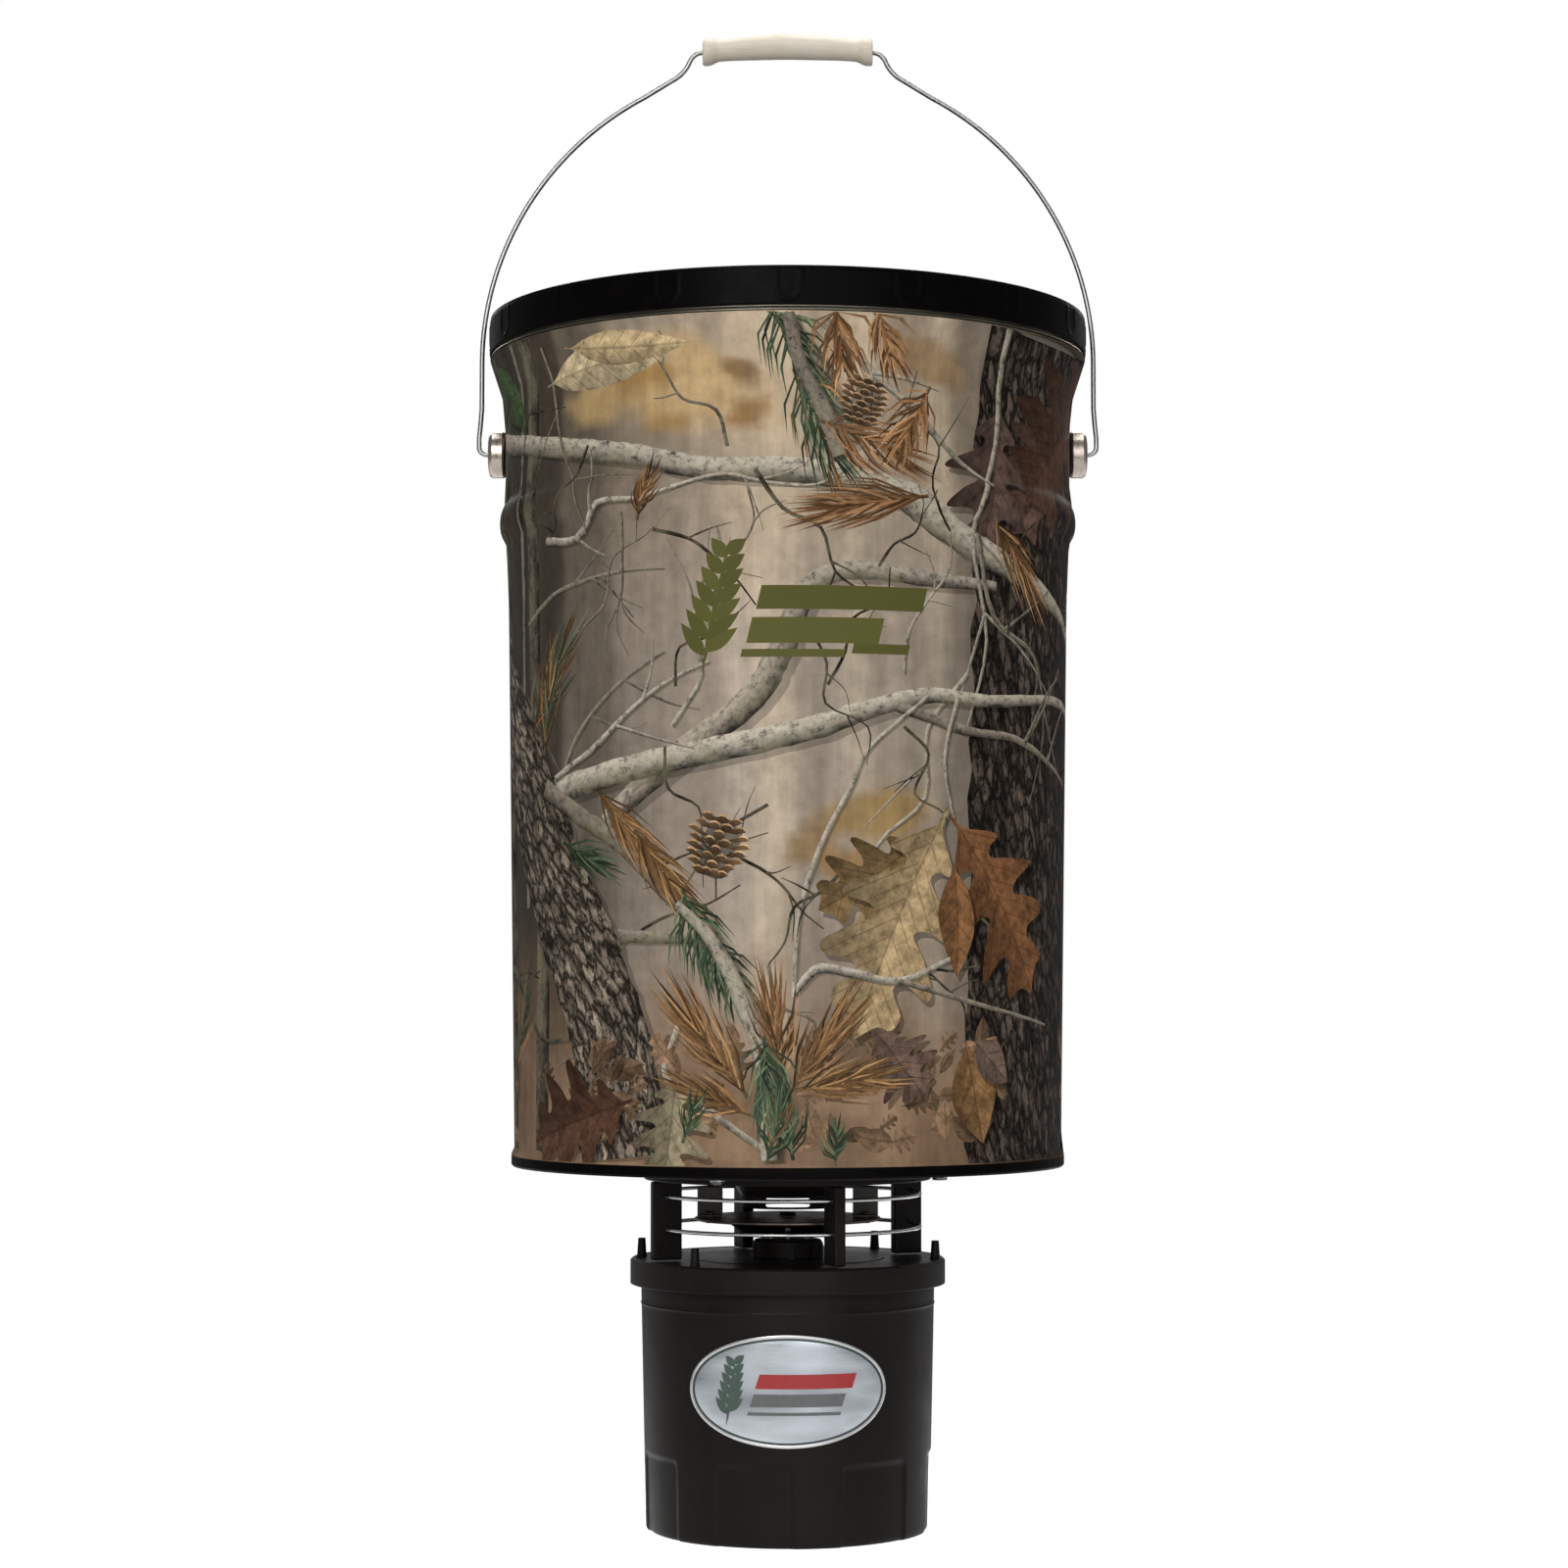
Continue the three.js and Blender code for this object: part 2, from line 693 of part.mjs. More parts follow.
function timerDisplay() {
  const { width, height, z } = display;
  const seat = timer.front + timer.wall + gap;
  const half = [width / 2, height / 2];
  const glass = block([-half[0], timer.front + 0.5, z - half[1]], [half[0], seat + 1, z + half[1]]);
  const frame = block([-half[0] - 2.5, seat, z - half[1] - 2.5], [half[0] + 2.5, seat + 4, z + half[1] + 2.5]);
  return join([glass, frame]);
}

const boardFront = timer.front + 14;

function circuitBoard() {
  const half = timer.width / 2 - timer.wall - 1;
  const board = block([-half, boardFront, timer.bottom + 4], [half, boardFront + 1.6, timer.top - 4]);
  const switches = buttonPlaces.map((x) => {
    return block([x - 3, boardFront - 2.6, button.z - 3], [x + 3, boardFront + 0.5, button.z + 3]);
  });
  const chip = block([-8, boardFront + 1, 88], [8, boardFront + 4, 104]);
  return join([board, ...switches, chip]);
}

// A push-button: its cap stands through the case and its flange lies behind the wall.
function timerButton(x) {
  const outer = timer.front - button.proud;
  const flangeFront = timer.front + timer.wall + gap;
  const cap = turned([
    [0, outer],
    [button.radius - 0.6, outer],
    [button.radius, outer + 0.6],
    [button.radius, flangeFront],
    [button.flange, flangeFront],
    [button.flange, flangeFront + 1.4],
    [2, flangeFront + 1.4],
    [2, boardFront - 2.6 - 1.2],
    [0, boardFront - 2.6 - 1.2],
  ], smallSides);
  return cap.rotateX(-Math.PI / 2).translate(x, 0, button.z);
}

function lead(points) {
  return swept(points.map((p) => new THREE.Vector3(...p)), leadRadius, 6);
}

const leadEnd = clipBottom + clip.height + gap;
const leadStart = boardFront + 1.6 + gap;
const motorCapBottom = motor.bottom - gap - motor.capHeight;

// From the circuit board, over the battery and down onto a clip, on the given side.
function batteryLead(side, [x, y]) {
  const away = side * 25;
  const route = [[side * 22, leadStart, 122], [side * 23, -34, 122.5], [away, -20, 125], [away, 0, 126]];
  return lead([...route, [away, y - 12, 126], [x + side * 3, y - 3, 124], [x, y, 122], [x, y, leadEnd]]);
}

// From the circuit board to the motor's end cap, on the given side.
function motorLead(side) {
  const x = side * 6;
  const end = motorCapBottom - gap;
  return lead([[x, leadStart, 110.5], [x, -34, 110.8], [x, -18, 112], [x, -8, 114], [x, -6, 116], [x, -6, end]]);
}

// ---------- assembly ----------

const feeder = new THREE.Group();

function add(name, geometry, material, group) {
  const mesh = new THREE.Mesh(weld(geometry), material);
  mesh.name = name;
  group.add(mesh);
}

function addPailAndLid() {
  const group = new THREE.Group();
  add("pail_shell", pailShell(), materials.printedSteel, group);
  add("pail_bottom", pailBottom(), materials.bareSteel, group);
  add("ear_left", pailEar(-1), materials.nickel, group);
  add("ear_right", pailEar(1), materials.nickel, group);
  add("lid", pailLid(), materials.blackSteel, group);
  add("lid_gasket", ring(gasket.inner, gasket.outer, gasket.bottom, gasket.top), materials.rubber, group);
  add("bail_wire", bailWire(), materials.galvanised, group);
  add("bail_grip", bailGrip(), materials.cream, group);
  feeder.add(group);
}

function addHousing() {
  const group = new THREE.Group();
  add("mount_flange", mountFlange(), materials.blackPlastic, group);
  add("funnel", grainFunnel(), materials.blackPlastic, group);
  leg.azimuths.forEach((azimuth, i) => {
    add(`housing_leg_${i + 1}`, housingLeg(azimuth), materials.blackPlastic, group);
  });
  add("guard_ring_lower", guardRing(guard.lowerZ), materials.zincPlate, group);
  add("guard_ring_upper", guardRing(guard.upperZ), materials.zincPlate, group);
  add("top_plate", topPlate(), materials.blackPlastic, group);
  add("plate_skirt", plateSkirt(), materials.blackPlastic, group);
  flangeScrewAzimuths.forEach((azimuth, i) => {
    add(`flange_screw_${i + 1}`, flangeFastener(azimuth), materials.zincPlate, group);
    add(`flange_nut_${i + 1}`, flangeNut(azimuth), materials.zincPlate, group);
  });
  feeder.add(group);
}

function addMotorAndSpinner() {
  const group = new THREE.Group();
  add("motor_boss", motorBoss(), materials.blackPlastic, group);
  add("motor_can", rod(motor.radius, motor.bottom, motor.top, 20), materials.zincPlate, group);
  add("motor_end_cap", rod(motor.radius, motorCapBottom, motor.bottom - gap, 20), materials.blackPlastic, group);
  add("motor_screw_left", motorScrew(-1), materials.zincPlate, group);
  add("motor_screw_right", motorScrew(1), materials.zincPlate, group);
  add("motor_shaft", rod(shaft.radius, shaft.bottom, shaft.top, 12), materials.zincPlate, group);
  add("spinner_hub", spinnerHub(), materials.blackPlastic, group);
  add("hub_set_screw", hubSetScrew(), materials.zincPlate, group);
  add("spinner_plate", spinnerPlate(), materials.galvanised, group);
  add("spinner_fin_left", spinnerFin(-1), materials.galvanised, group);
  add("spinner_fin_right", spinnerFin(1), materials.galvanised, group);
  add("fin_rivet_left", finRivet(-1), materials.copper, group);
  add("fin_rivet_right", finRivet(1), materials.copper, group);
  add("spinner_nut", spinnerNut(), materials.zincPlate, group);
  feeder.add(group);
}

function addCanister() {
  const group = new THREE.Group();
  add("canister_cup", canisterCup(), materials.blackPlastic, group);
  add("canister_seal", ring(seal.inner, seal.outer, seal.bottom, seal.top), materials.rubber, group);
  add("canister_badge", canisterBadge(), materials.silverBadge, group);
  feeder.add(group);
}

function addPower() {
  const group = new THREE.Group();
  add("battery_case", batteryCase(), materials.batteryBlue, group);
  add("battery_carrier", batteryCarrier(), materials.galvanised, group);
  add("battery_spring_left", batterySpring(terminals.left), materials.zincPlate, group);
  add("battery_spring_right", batterySpring(terminals.right), materials.zincPlate, group);
  add("lead_clip_left", leadClip(terminals.left), materials.redLead, group);
  add("lead_clip_right", leadClip(terminals.right), materials.blackLead, group);
  add("battery_lead_red", batteryLead(-1, terminals.left), materials.redLead, group);
  add("battery_lead_black", batteryLead(1, terminals.right), materials.blackLead, group);
  add("motor_lead_red", motorLead(-1), materials.redLead, group);
  add("motor_lead_black", motorLead(1), materials.blackLead, group);
  feeder.add(group);
}

function addTimer() {
  const group = new THREE.Group();
  add("timer_case", timerCase(), materials.blackPlastic, group);
  add("timer_display", timerDisplay(), materials.displayGlass, group);
  add("circuit_board", circuitBoard(), materials.greenBoard, group);
  buttonPlaces.forEach((x, i) => {
    add(`timer_button_${i + 1}`, timerButton(x), materials.greyButton, group);
  });
  feeder.add(group);
}

addPailAndLid();
addHousing();
addMotorAndSpinner();
addCanister();
addPower();
addTimer();

export default feeder;
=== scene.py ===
# Hanging bucket game feeder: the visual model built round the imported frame.
# Lengths are in millimetres until a mesh is made; +Z is up, the front faces -Y.
# Azimuths are in degrees, counted from the front (-Y) towards +X.
import math
import random

import bmesh
import bpy
import numpy as np
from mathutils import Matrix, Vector
from mathutils.geometry import delaunay_2d_cdt


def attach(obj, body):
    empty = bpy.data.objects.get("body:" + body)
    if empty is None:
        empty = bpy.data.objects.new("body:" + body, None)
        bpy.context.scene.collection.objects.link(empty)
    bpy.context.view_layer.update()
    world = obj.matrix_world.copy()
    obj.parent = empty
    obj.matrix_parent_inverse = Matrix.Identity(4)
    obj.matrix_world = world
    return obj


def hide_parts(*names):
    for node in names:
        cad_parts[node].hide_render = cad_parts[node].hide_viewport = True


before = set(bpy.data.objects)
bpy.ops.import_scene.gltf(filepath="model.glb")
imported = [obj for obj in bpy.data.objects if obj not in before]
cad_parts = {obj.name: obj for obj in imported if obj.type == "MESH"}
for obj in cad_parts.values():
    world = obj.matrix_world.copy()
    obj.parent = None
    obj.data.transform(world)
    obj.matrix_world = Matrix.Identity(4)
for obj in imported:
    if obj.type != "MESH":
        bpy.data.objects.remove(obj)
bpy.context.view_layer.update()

MM = 0.001
TURN = 2 * math.pi
SIDES = (("left", -1), ("right", 1))


# ---------------------------------------------------------------- mesh helpers


def in_scene(thing):
    bpy.context.scene.collection.objects.link(thing)
    return thing


def finish_piece(name, mesh, look, body, *nodes):
    """Makes a piece that rides on a body. A look is its materials and the record's slot for them; the slot is
    not used.
    """
    materials, slot = look
    piece = in_scene(bpy.data.objects.new(name, mesh))
    mesh.name = name
    for material in materials:
        mesh.materials.append(material)
    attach(piece, body)
    if nodes:
        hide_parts(*nodes)


UPRIGHT = ((1, 0, 0), (0, 1, 0), (0, 0, 1))
Z_TO_X = ((0, 0, 1), (0, 1, 0), (-1, 0, 0))
Z_TO_MINUS_X = ((0, 0, -1), (0, 1, 0), (1, 0, 0))
Z_TO_MINUS_Y = ((1, 0, 0), (0, 0, -1), (0, 1, 0))


class Shell:
    """Gathers vertices, faces and normals of one piece, in millimetres."""

    def __init__(self):
        self.points = np.zeros((0, 3))
        self.normals = np.zeros((0, 3))
        self.faces = []

    def add(self, points, normals, faces):
        first = len(self.points)
        self.points = np.concatenate([self.points, np.asarray(points, float).reshape(-1, 3)])
        self.normals = np.concatenate([self.normals, np.asarray(normals, float).reshape(-1, 3)])
        self.faces += [tuple(i + first for i in face) for face in faces]
        return self

    def put(self, other, place=(0, 0, 0), axes=UPRIGHT):
        """Adds another shell, turned to other axes and moved to a place."""
        turn = np.array(axes, float).T
        return self.add(other.points @ turn + np.array(place, float), other.normals @ turn, other.faces)

    def mesh(self):
        mesh = bpy.data.meshes.new("shell")
        mesh.from_pydata((self.points * MM).tolist(), [], self.faces)
        length = np.linalg.norm(self.normals, axis=1)
        return shaded(mesh, self.normals / np.where(length < 1e-9, 1, length)[:, None])


def placed(shell, place=(0, 0, 0), axes=UPRIGHT):
    return Shell().put(shell, place, axes)


def shaded(mesh, normals):
    """Smooth shading with a normal given for each vertex."""
    mesh.polygons.foreach_set("use_smooth", [True] * len(mesh.polygons))
    mesh.normals_split_custom_set_from_vertices(normals.tolist())
    return mesh


def sharp_shading(mesh, degrees=32):
    """Smooth shading, with a sharp edge wherever two faces meet at more than an angle."""
    mesh.polygons.foreach_set("use_smooth", [True] * len(mesh.polygons))
    mesh.set_sharp_from_angle(angle=math.radians(degrees))
    return mesh


def even_shading(mesh):
    """Smooth normals weighted by face area, so that flat sides stay flat and edges catch light."""
    normals = np.zeros((len(mesh.vertices), 3))
    for polygon in mesh.polygons:
        weight = np.array(polygon.normal) * polygon.area
        for index in polygon.vertices:
            normals[index] += weight
    return shaded(mesh, normals / np.maximum(np.linalg.norm(normals, axis=1), 1e-12)[:, None])


def plain_mesh(points, faces):
    mesh = bpy.data.meshes.new("plain")
    mesh.from_pydata((np.asarray(points) * MM).tolist(), [], faces)
    mesh.update()
    return mesh


def closed_mesh(points, faces, degrees=32):
    """A closed mesh whose faces are turned outwards."""
    mesh = plain_mesh(points, faces)
    build = bmesh.new()
    build.from_mesh(mesh)
    bmesh.ops.recalc_face_normals(build, faces=build.faces)
    build.to_mesh(mesh)
    build.free()
    return sharp_shading(mesh, degrees)


def unit(vector):
    return vector / max(np.linalg.norm(vector), 1e-9)


def soften(outline, radius=0.5, steps=4, closed=False):
    """Rounds the corners of an outline of (r, z) pairs. Returns points and their outward normals."""
    corners = np.array(outline, float)
    count = len(corners)
    points, normals = [], []

    def outward(start, end):
        direction = unit(end - start)
        return np.array([direction[1], -direction[0]])

    for i, here in enumerate(corners):
        if not closed and i in (0, count - 1):
            points.append(here)
            normals.append(outward(*(corners[:2] if i == 0 else corners[-2:])))
            continue
        before, after = corners[i - 1], corners[(i + 1) % count]
        n1, n2 = outward(before, here), outward(here, after)
        turn = math.acos(max(-1, min(1, float(n1 @ n2))))
        if turn < math.radians(14):
            points.append(here)
            normals.append(n1 + n2)
            continue
        room = 0.45 * min(np.linalg.norm(here - before), np.linalg.norm(after - here))
        reach = min(radius * math.tan(turn / 2), room)
        start = here + (before - here) / np.linalg.norm(before - here) * reach
        end = here + (after - here) / np.linalg.norm(after - here) * reach
        for t in np.arange(steps + 1) / steps:
            a, b = start + (here - start) * t, here + (end - here) * t
            points.append(a + (b - a) * t)
            normals.append(n1 * (1 - t) + n2 * t)
    return np.array(points), np.array([unit(n) for n in normals])


def grid_faces(rows, columns, wrap_rows=False):
    """Faces between rows of points that go round, with the last row joined to the first if asked."""
    faces = []
    for i in range(rows if wrap_rows else rows - 1):
        here, above = i * columns, (i + 1) % rows * columns
        for j in range(columns):
            k = (j + 1) % columns
            faces.append((here + j, here + k, above + k, above + j))
    return faces


def close_ends(rows, columns):
    """Fans that close a grid's first and last rows on two points that follow the grid."""
    low, last = rows * columns, (rows - 1) * columns
    fans = []
    for j in range(columns):
        k = (j + 1) % columns
        fans += [(low, k, j), (low + 1, last + j, last + k)]
    return fans


def round_axis(pairs, azimuths):
    """Places each pair of (distance from the axis, z) at every azimuth, given in radians."""
    s, c = np.sin(azimuths), -np.cos(azimuths)
    return np.stack([pairs[:, :1] * s, pairs[:, :1] * c, pairs[:, 1:] + 0 * s], axis=2)


def even_turn(count):
    return np.arange(count) * TURN / count


def lathe(outline, segments=128, radius=0.5):
    """A turned ring. Its closed outline runs up the outer side and down the inner side."""
    points, normals = soften(outline, radius, closed=True)
    azimuths = even_turn(segments)
    faces = grid_faces(len(points), segments, wrap_rows=True)
    return Shell().add(round_axis(points, azimuths), round_axis(normals, azimuths), faces)


def turned_solid(outline, segments=96, radius=0.5):
    """A turned solid whose outline starts and ends on the axis."""
    points, normals = soften(outline, radius)
    azimuths = even_turn(segments)
    rows = len(points) - 2
    body = Shell()
    body.add(round_axis(points[1:-1], azimuths), round_axis(normals[1:-1], azimuths), [])
    ends = [[0, 0, points[0][1]], [0, 0, points[-1][1]]]
    body.add(ends, [[0, 0, normals[0][1]], [0, 0, normals[-1][1]]], [])
    body.faces = grid_faces(rows, segments) + close_ends(rows, segments)
    return body


def pin(radius, low, high, segments=28, rounding=0.3):
    """A plain round bar standing along Z."""
    return turned_solid([(0, low), (radius, low), (radius, high), (0, high)], segments, rounding)


def tube(path, radius, sides=16, closed=False):
    """A round bar along a path. Its ends are domed."""
    path = np.asarray(path, float)
    count = len(path)
    tangents = np.roll(path, -1, 0) - np.roll(path, 1, 0) if closed else np.gradient(path, axis=0)
    tangents /= np.linalg.norm(tangents, axis=1)[:, None]
    across = np.cross(tangents[0], [0.31, 0.95, 0.07])
    rings, ring_normals = [], []
    angles = even_turn(sides)
    for place, tangent in zip(path, tangents):
        across = across - tangent * (across @ tangent)
        across /= np.linalg.norm(across)
        around = np.outer(np.cos(angles), across) + np.outer(np.sin(angles), np.cross(tangent, across))
        rings.append(place + around * radius)
        ring_normals.append(around)
    bar = Shell().add(np.concatenate(rings), np.concatenate(ring_normals), grid_faces(count, sides, closed))
    if not closed:
        outward = [-tangents[0], tangents[-1]]
        bar.add([path[0] + outward[0] * radius * 0.35, path[-1] + outward[1] * radius * 0.35], outward, [])
        bar.faces += close_ends(count, sides)
    return bar


def block(low, high, bevel=0.3, azimuth=0.0):
    """A box with rounded edges, turned round Z, with even shading on its flat sides."""
    low, high = np.array(low, float), np.array(high, float)
    build = bmesh.new()
    bmesh.ops.create_cube(build, size=1)
    for vert in build.verts:
        vert.co = Vector(((np.array(vert.co) + 0.5) * (high - low) + low).tolist())
    bmesh.ops.bevel(build, geom=build.edges, offset=bevel, segments=3, profile=0.5, affect="EDGES")
    mesh = bpy.data.meshes.new("block")
    build.to_mesh(mesh)
    build.free()
    c, s = math.cos(math.radians(azimuth)), math.sin(math.radians(azimuth))
    co = np.array([v.co for v in mesh.vertices])
    turned = np.stack([co[:, 0] * c - co[:, 1] * s, co[:, 0] * s + co[:, 1] * c, co[:, 2]], 1)
    mesh.vertices.foreach_set("co", (turned * MM).ravel())
    mesh.update()
    return even_shading(mesh)


def joined(meshes):
    """One mesh from several, with their normals kept."""
    points, normals, faces = [], [], []
    for mesh in meshes:
        first = len(points)
        points += [tuple(v.co) for v in mesh.vertices]
        corner = {}
        for loop, normal in zip(mesh.loops, mesh.corner_normals):
            corner[loop.vertex_index] = tuple(normal.vector)
        normals += [corner[i] for i in range(len(mesh.vertices))]
        faces += [tuple(i + first for i in p.vertices) for p in mesh.polygons]
    whole = bpy.data.meshes.new("joined")
    whole.from_pydata(points, [], faces)
    return shaded(whole, np.array(normals))


def cut_away(mesh, cutters):
    """The mesh without the cutters' space."""
    body = in_scene(bpy.data.objects.new("body", mesh))
    tools = [in_scene(bpy.data.objects.new("cutter", cutter)) for cutter in cutters]
    for tool in tools:
        step = body.modifiers.new("cut", "BOOLEAN")
        step.operation, step.object, step.solver = "DIFFERENCE", tool, "EXACT"
    bpy.context.view_layer.update()
    graph = bpy.context.evaluated_depsgraph_get()
    result = bpy.data.meshes.new_from_object(body.evaluated_get(graph), depsgraph=graph)
    for thing in [body, *tools]:
        bpy.data.objects.remove(thing)
    return sharp_shading(result)


def six_sided(flat_radius, bottom, top, bore=0.0, columns=48):
    """A hexagon nut or bolt head with chamfered corners, standing along Z."""
    t = even_turn(columns)
    to_flat = (t + math.pi / 6) % (math.pi / 3) - math.pi / 6
    hexagon = flat_radius / np.cos(to_flat)
    flat, level = np.full(columns, flat_radius), np.zeros(columns)
    drop = (hexagon - flat) * 0.55
    rows = [(flat * 0.98, level + bottom), (hexagon, bottom + drop), (hexagon, top - drop)]
    rows.append((flat * 0.98, level + top))
    if bore:
        rows += [(level + bore + 0.3, level + top), (level + bore, level + top - 0.3)]
        rows.append((level + bore, level + bottom))
    points = np.concatenate([np.stack([r * np.sin(t), -r * np.cos(t), z], 1) for r, z in rows])
    faces = grid_faces(len(rows), columns, wrap_rows=bool(bore))
    if not bore:
        faces.append(tuple(range(columns))[::-1])
        faces.append(tuple((len(rows) - 1) * columns + j for j in range(columns)))
    return Shell().add(points, np.zeros_like(points) + [0, 0, 1], faces)


def at_azimuth(radius, azimuth, z=0.0):
    t = math.radians(azimuth)
    return radius * math.sin(t), -radius * math.cos(t), z


def curve_through(points, steps=8):
    """A smooth path through the points (Catmull-Rom)."""
    p = np.array(points, float)
    p = np.concatenate([[2 * p[0] - p[1]], p, [2 * p[-1] - p[-2]]])
    path = []
    for a, b, c, d in zip(p, p[1:], p[2:], p[3:]):
        for s in np.linspace(0, 1, steps, endpoint=False):
            path.append(0.5 * (2 * b + (c - a) * s + (2 * a - 5 * b + 4 * c - d) * s**2
                               + (3 * b - a - 3 * c + d) * s**3))
    return np.array([*path, p[-2]])


def smooth(value, low, high):
    """Goes from 0 at low to 1 at high, with soft ends."""
    t = np.clip((value - low) / (high - low), 0, 1)
    return t * t * (3 - 2 * t)


# ---------------------------------------------------------------- material helpers


class Paint:
    """A node material with a Principled shader, built from small steps."""

    def __init__(self, name, **sockets):
        self.material = bpy.data.materials.new(name)
        self.material.use_nodes = True
        self.tree = self.material.node_tree
        self.shader = self.tree.nodes["Principled BSDF"]
        self.coordinates = self.tree.nodes.new("ShaderNodeTexCoord").outputs["Object"]
        for label, value in sockets.items():
            self.shader.inputs[label.replace("_", " ")].default_value = value

    def feed(self, socket, value):
        """Links an output to a socket, or sets the socket to a value."""
        if hasattr(value, "is_output"):
            self.tree.links.new(value, socket)
        else:
            socket.default_value = value

    def node(self, kind, inputs, **settings):
        made = self.tree.nodes.new("ShaderNode" + kind)
        for label, value in settings.items():
            setattr(made, label, value)
        for label, value in inputs.items():
            self.feed(made.inputs[label], value)
        return made

    def scaled(self, x, y, z, source=None):
        """Object coordinates, or another vector, multiplied axis by axis."""
        values = {"Vector": source or self.coordinates, "Scale": (x, y, z)}
        return self.node("Mapping", values).outputs["Vector"]

    def noise(self, scale, detail=3.0, roughness=0.55, vector=None):
        values = {"Scale": scale, "Detail": detail, "Roughness": roughness}
        return self.node("TexNoise", {"Vector": vector or self.coordinates, **values}).outputs["Fac"]

    def cells(self, scale, vector=None, feature="F1", output="Distance"):
        values = {"Vector": vector or self.coordinates, "Scale": scale}
        made = self.node("TexVoronoi", values, feature=feature)
        return made.outputs[output]

    def ramp(self, value, stops, interpolation="LINEAR"):
        """A grey for each value; stops are (position, grey)."""
        made = self.node("ValToRGB", {"Fac": value})
        band = made.color_ramp
        band.interpolation = interpolation
        while len(band.elements) < len(stops):
            band.elements.new(0.5)
        for element, (position, grey) in zip(band.elements, stops):
            element.position = position
            element.color = (grey, grey, grey, 1)
        return made.outputs["Color"]

    def mix(self, factor, first, second):
        """One colour turning into another; each is three numbers or an output."""
        made = self.node("Mix", {}, data_type="RGBA")
        for index, value in ((0, factor), (6, first), (7, second)):
            self.feed(made.inputs[index], (*value, 1) if isinstance(value, tuple) else value)
        return made.outputs[2]

    def math(self, operation, first, second=0.0, third=0.0, clamp=False):
        values = {0: first, 1: second, 2: third}
        return self.node("Math", values, operation=operation, use_clamp=clamp).outputs[0]

    def span(self, value, low=0.3, high=0.7, to_low=0.0, to_high=1.0):
        labels = ("Value", "From Min", "From Max", "To Min", "To Max")
        return self.node("MapRange", dict(zip(labels, (value, low, high, to_low, to_high)))).outputs["Result"]

    def spread(self, value, low, high):
        """A noise's usual range stretched from low to high."""
        return self.span(value, 0.3, 0.7, low, high)

    def attribute(self, name, output="Vector"):
        return self.node("Attribute", {}, attribute_name=name).outputs[output]

    def parts(self, vector):
        return self.node("SeparateXYZ", {"Vector": vector}).outputs

    def use(self, colour, roughness=None):
        self.feed(self.shader.inputs["Base Color"], colour)
        if roughness is not None:
            self.feed(self.shader.inputs["Roughness"], roughness)
        return self

    def bump(self, height, strength, distance):
        """distance is in millimetres."""
        made = self.node("Bump", {"Height": height, "Strength": strength, "Distance": distance * MM})
        previous = self.shader.inputs["Normal"].links
        if previous:
            self.feed(made.inputs["Normal"], previous[0].from_socket)
        self.feed(self.shader.inputs["Normal"], made.outputs["Normal"])
        return self


# ---------------------------------------------------------------- materials


def moulded_black(name, dust=0.35, specular=0.15, shiny=0.36, dull=0.5):
    """Warm black moulded plastic with a fine grain, dull patches and a little dust."""
    paint = Paint(name, Specular_IOR_Level=specular)
    patches = paint.noise(38, 4)
    fine = paint.noise(2600, 2)
    dusty = paint.ramp(paint.noise(420, 6, 0.7), [(0.55, 0.0), (0.78, dust)])
    tint = paint.mix(patches, (0.0048, 0.0034, 0.0028), (0.0105, 0.0077, 0.0063))
    colour = paint.mix(dusty, tint, (0.031, 0.0245, 0.019))
    paint.use(colour, paint.spread(patches, shiny, dull))
    paint.bump(fine, 0.35, 0.06)
    return paint.bump(patches, 0.12, 0.25).material


def enamel_black(name):
    """Near-black enamel on steel, with orange peel and a few dull handling marks."""
    paint = Paint(name, Specular_IOR_Level=0.035)
    peel = paint.noise(700, 2)
    marks = paint.noise(60, 6, 0.7)
    colour = paint.mix(marks, (0.0009, 0.0008, 0.0008), (0.0034, 0.0027, 0.0025))
    paint.use(colour, paint.span(marks, 0.3, 0.75, 0.3, 0.5))
    return paint.bump(peel, 0.16, 0.12).material


def drawn_steel(name, colour=(0.56, 0.56, 0.55), streak=(40, 40, 900), low=0.18, high=0.38):
    """Plated steel with drawn streaks; streak is the scale along each axis."""
    paint = Paint(name, Metallic=1.0)
    lines = paint.noise(1.0, 4, vector=paint.scaled(*streak))
    spots = paint.noise(230, 4)
    shade = paint.mix(spots, tuple(0.8 * c for c in colour), tuple(min(1, 1.12 * c) for c in colour))
    paint.use(shade, paint.spread(lines, low, high))
    return paint.bump(lines, 0.1, 0.05).material


def galvanised(name, base, scale):
    """Zinc with crystals that differ a little in shade and gloss."""
    paint = Paint(name, Metallic=1.0)
    shade = paint.parts(paint.cells(scale, output="Color"))[0]
    cloud = paint.noise(55, 5)
    blotch = paint.math("MULTIPLY_ADD", shade, 0.55, paint.math("MULTIPLY", cloud, 0.45))
    colour = paint.mix(blotch, tuple(0.7 * c for c in base), tuple(min(1, 1.25 * c) for c in base))
    paint.use(colour, paint.span(shade, 0.0, 1.0, 0.3, 0.5))
    return paint.bump(cloud, 0.12, 0.1).material


def cream_plastic(name):
    """Old ivory plastic: warm clouds, and fine scuffs along the grip that also darken it with grime."""
    paint = Paint(name, Subsurface_Weight=0.08, Subsurface_Scale=0.004)
    cloud = paint.noise(60, 5)
    scuffs = paint.noise(1.0, 5, 0.65, vector=paint.scaled(60, 700, 700))
    tint = paint.mix(cloud, (0.66, 0.58, 0.46), (0.84, 0.78, 0.68))
    colour = paint.mix(paint.ramp(scuffs, [(0.52, 0.0), (0.8, 0.5)]), tint, (0.48, 0.39, 0.29))
    paint.use(colour, paint.spread(scuffs, 0.38, 0.58))
    return paint.bump(scuffs, 0.25, 0.12).material


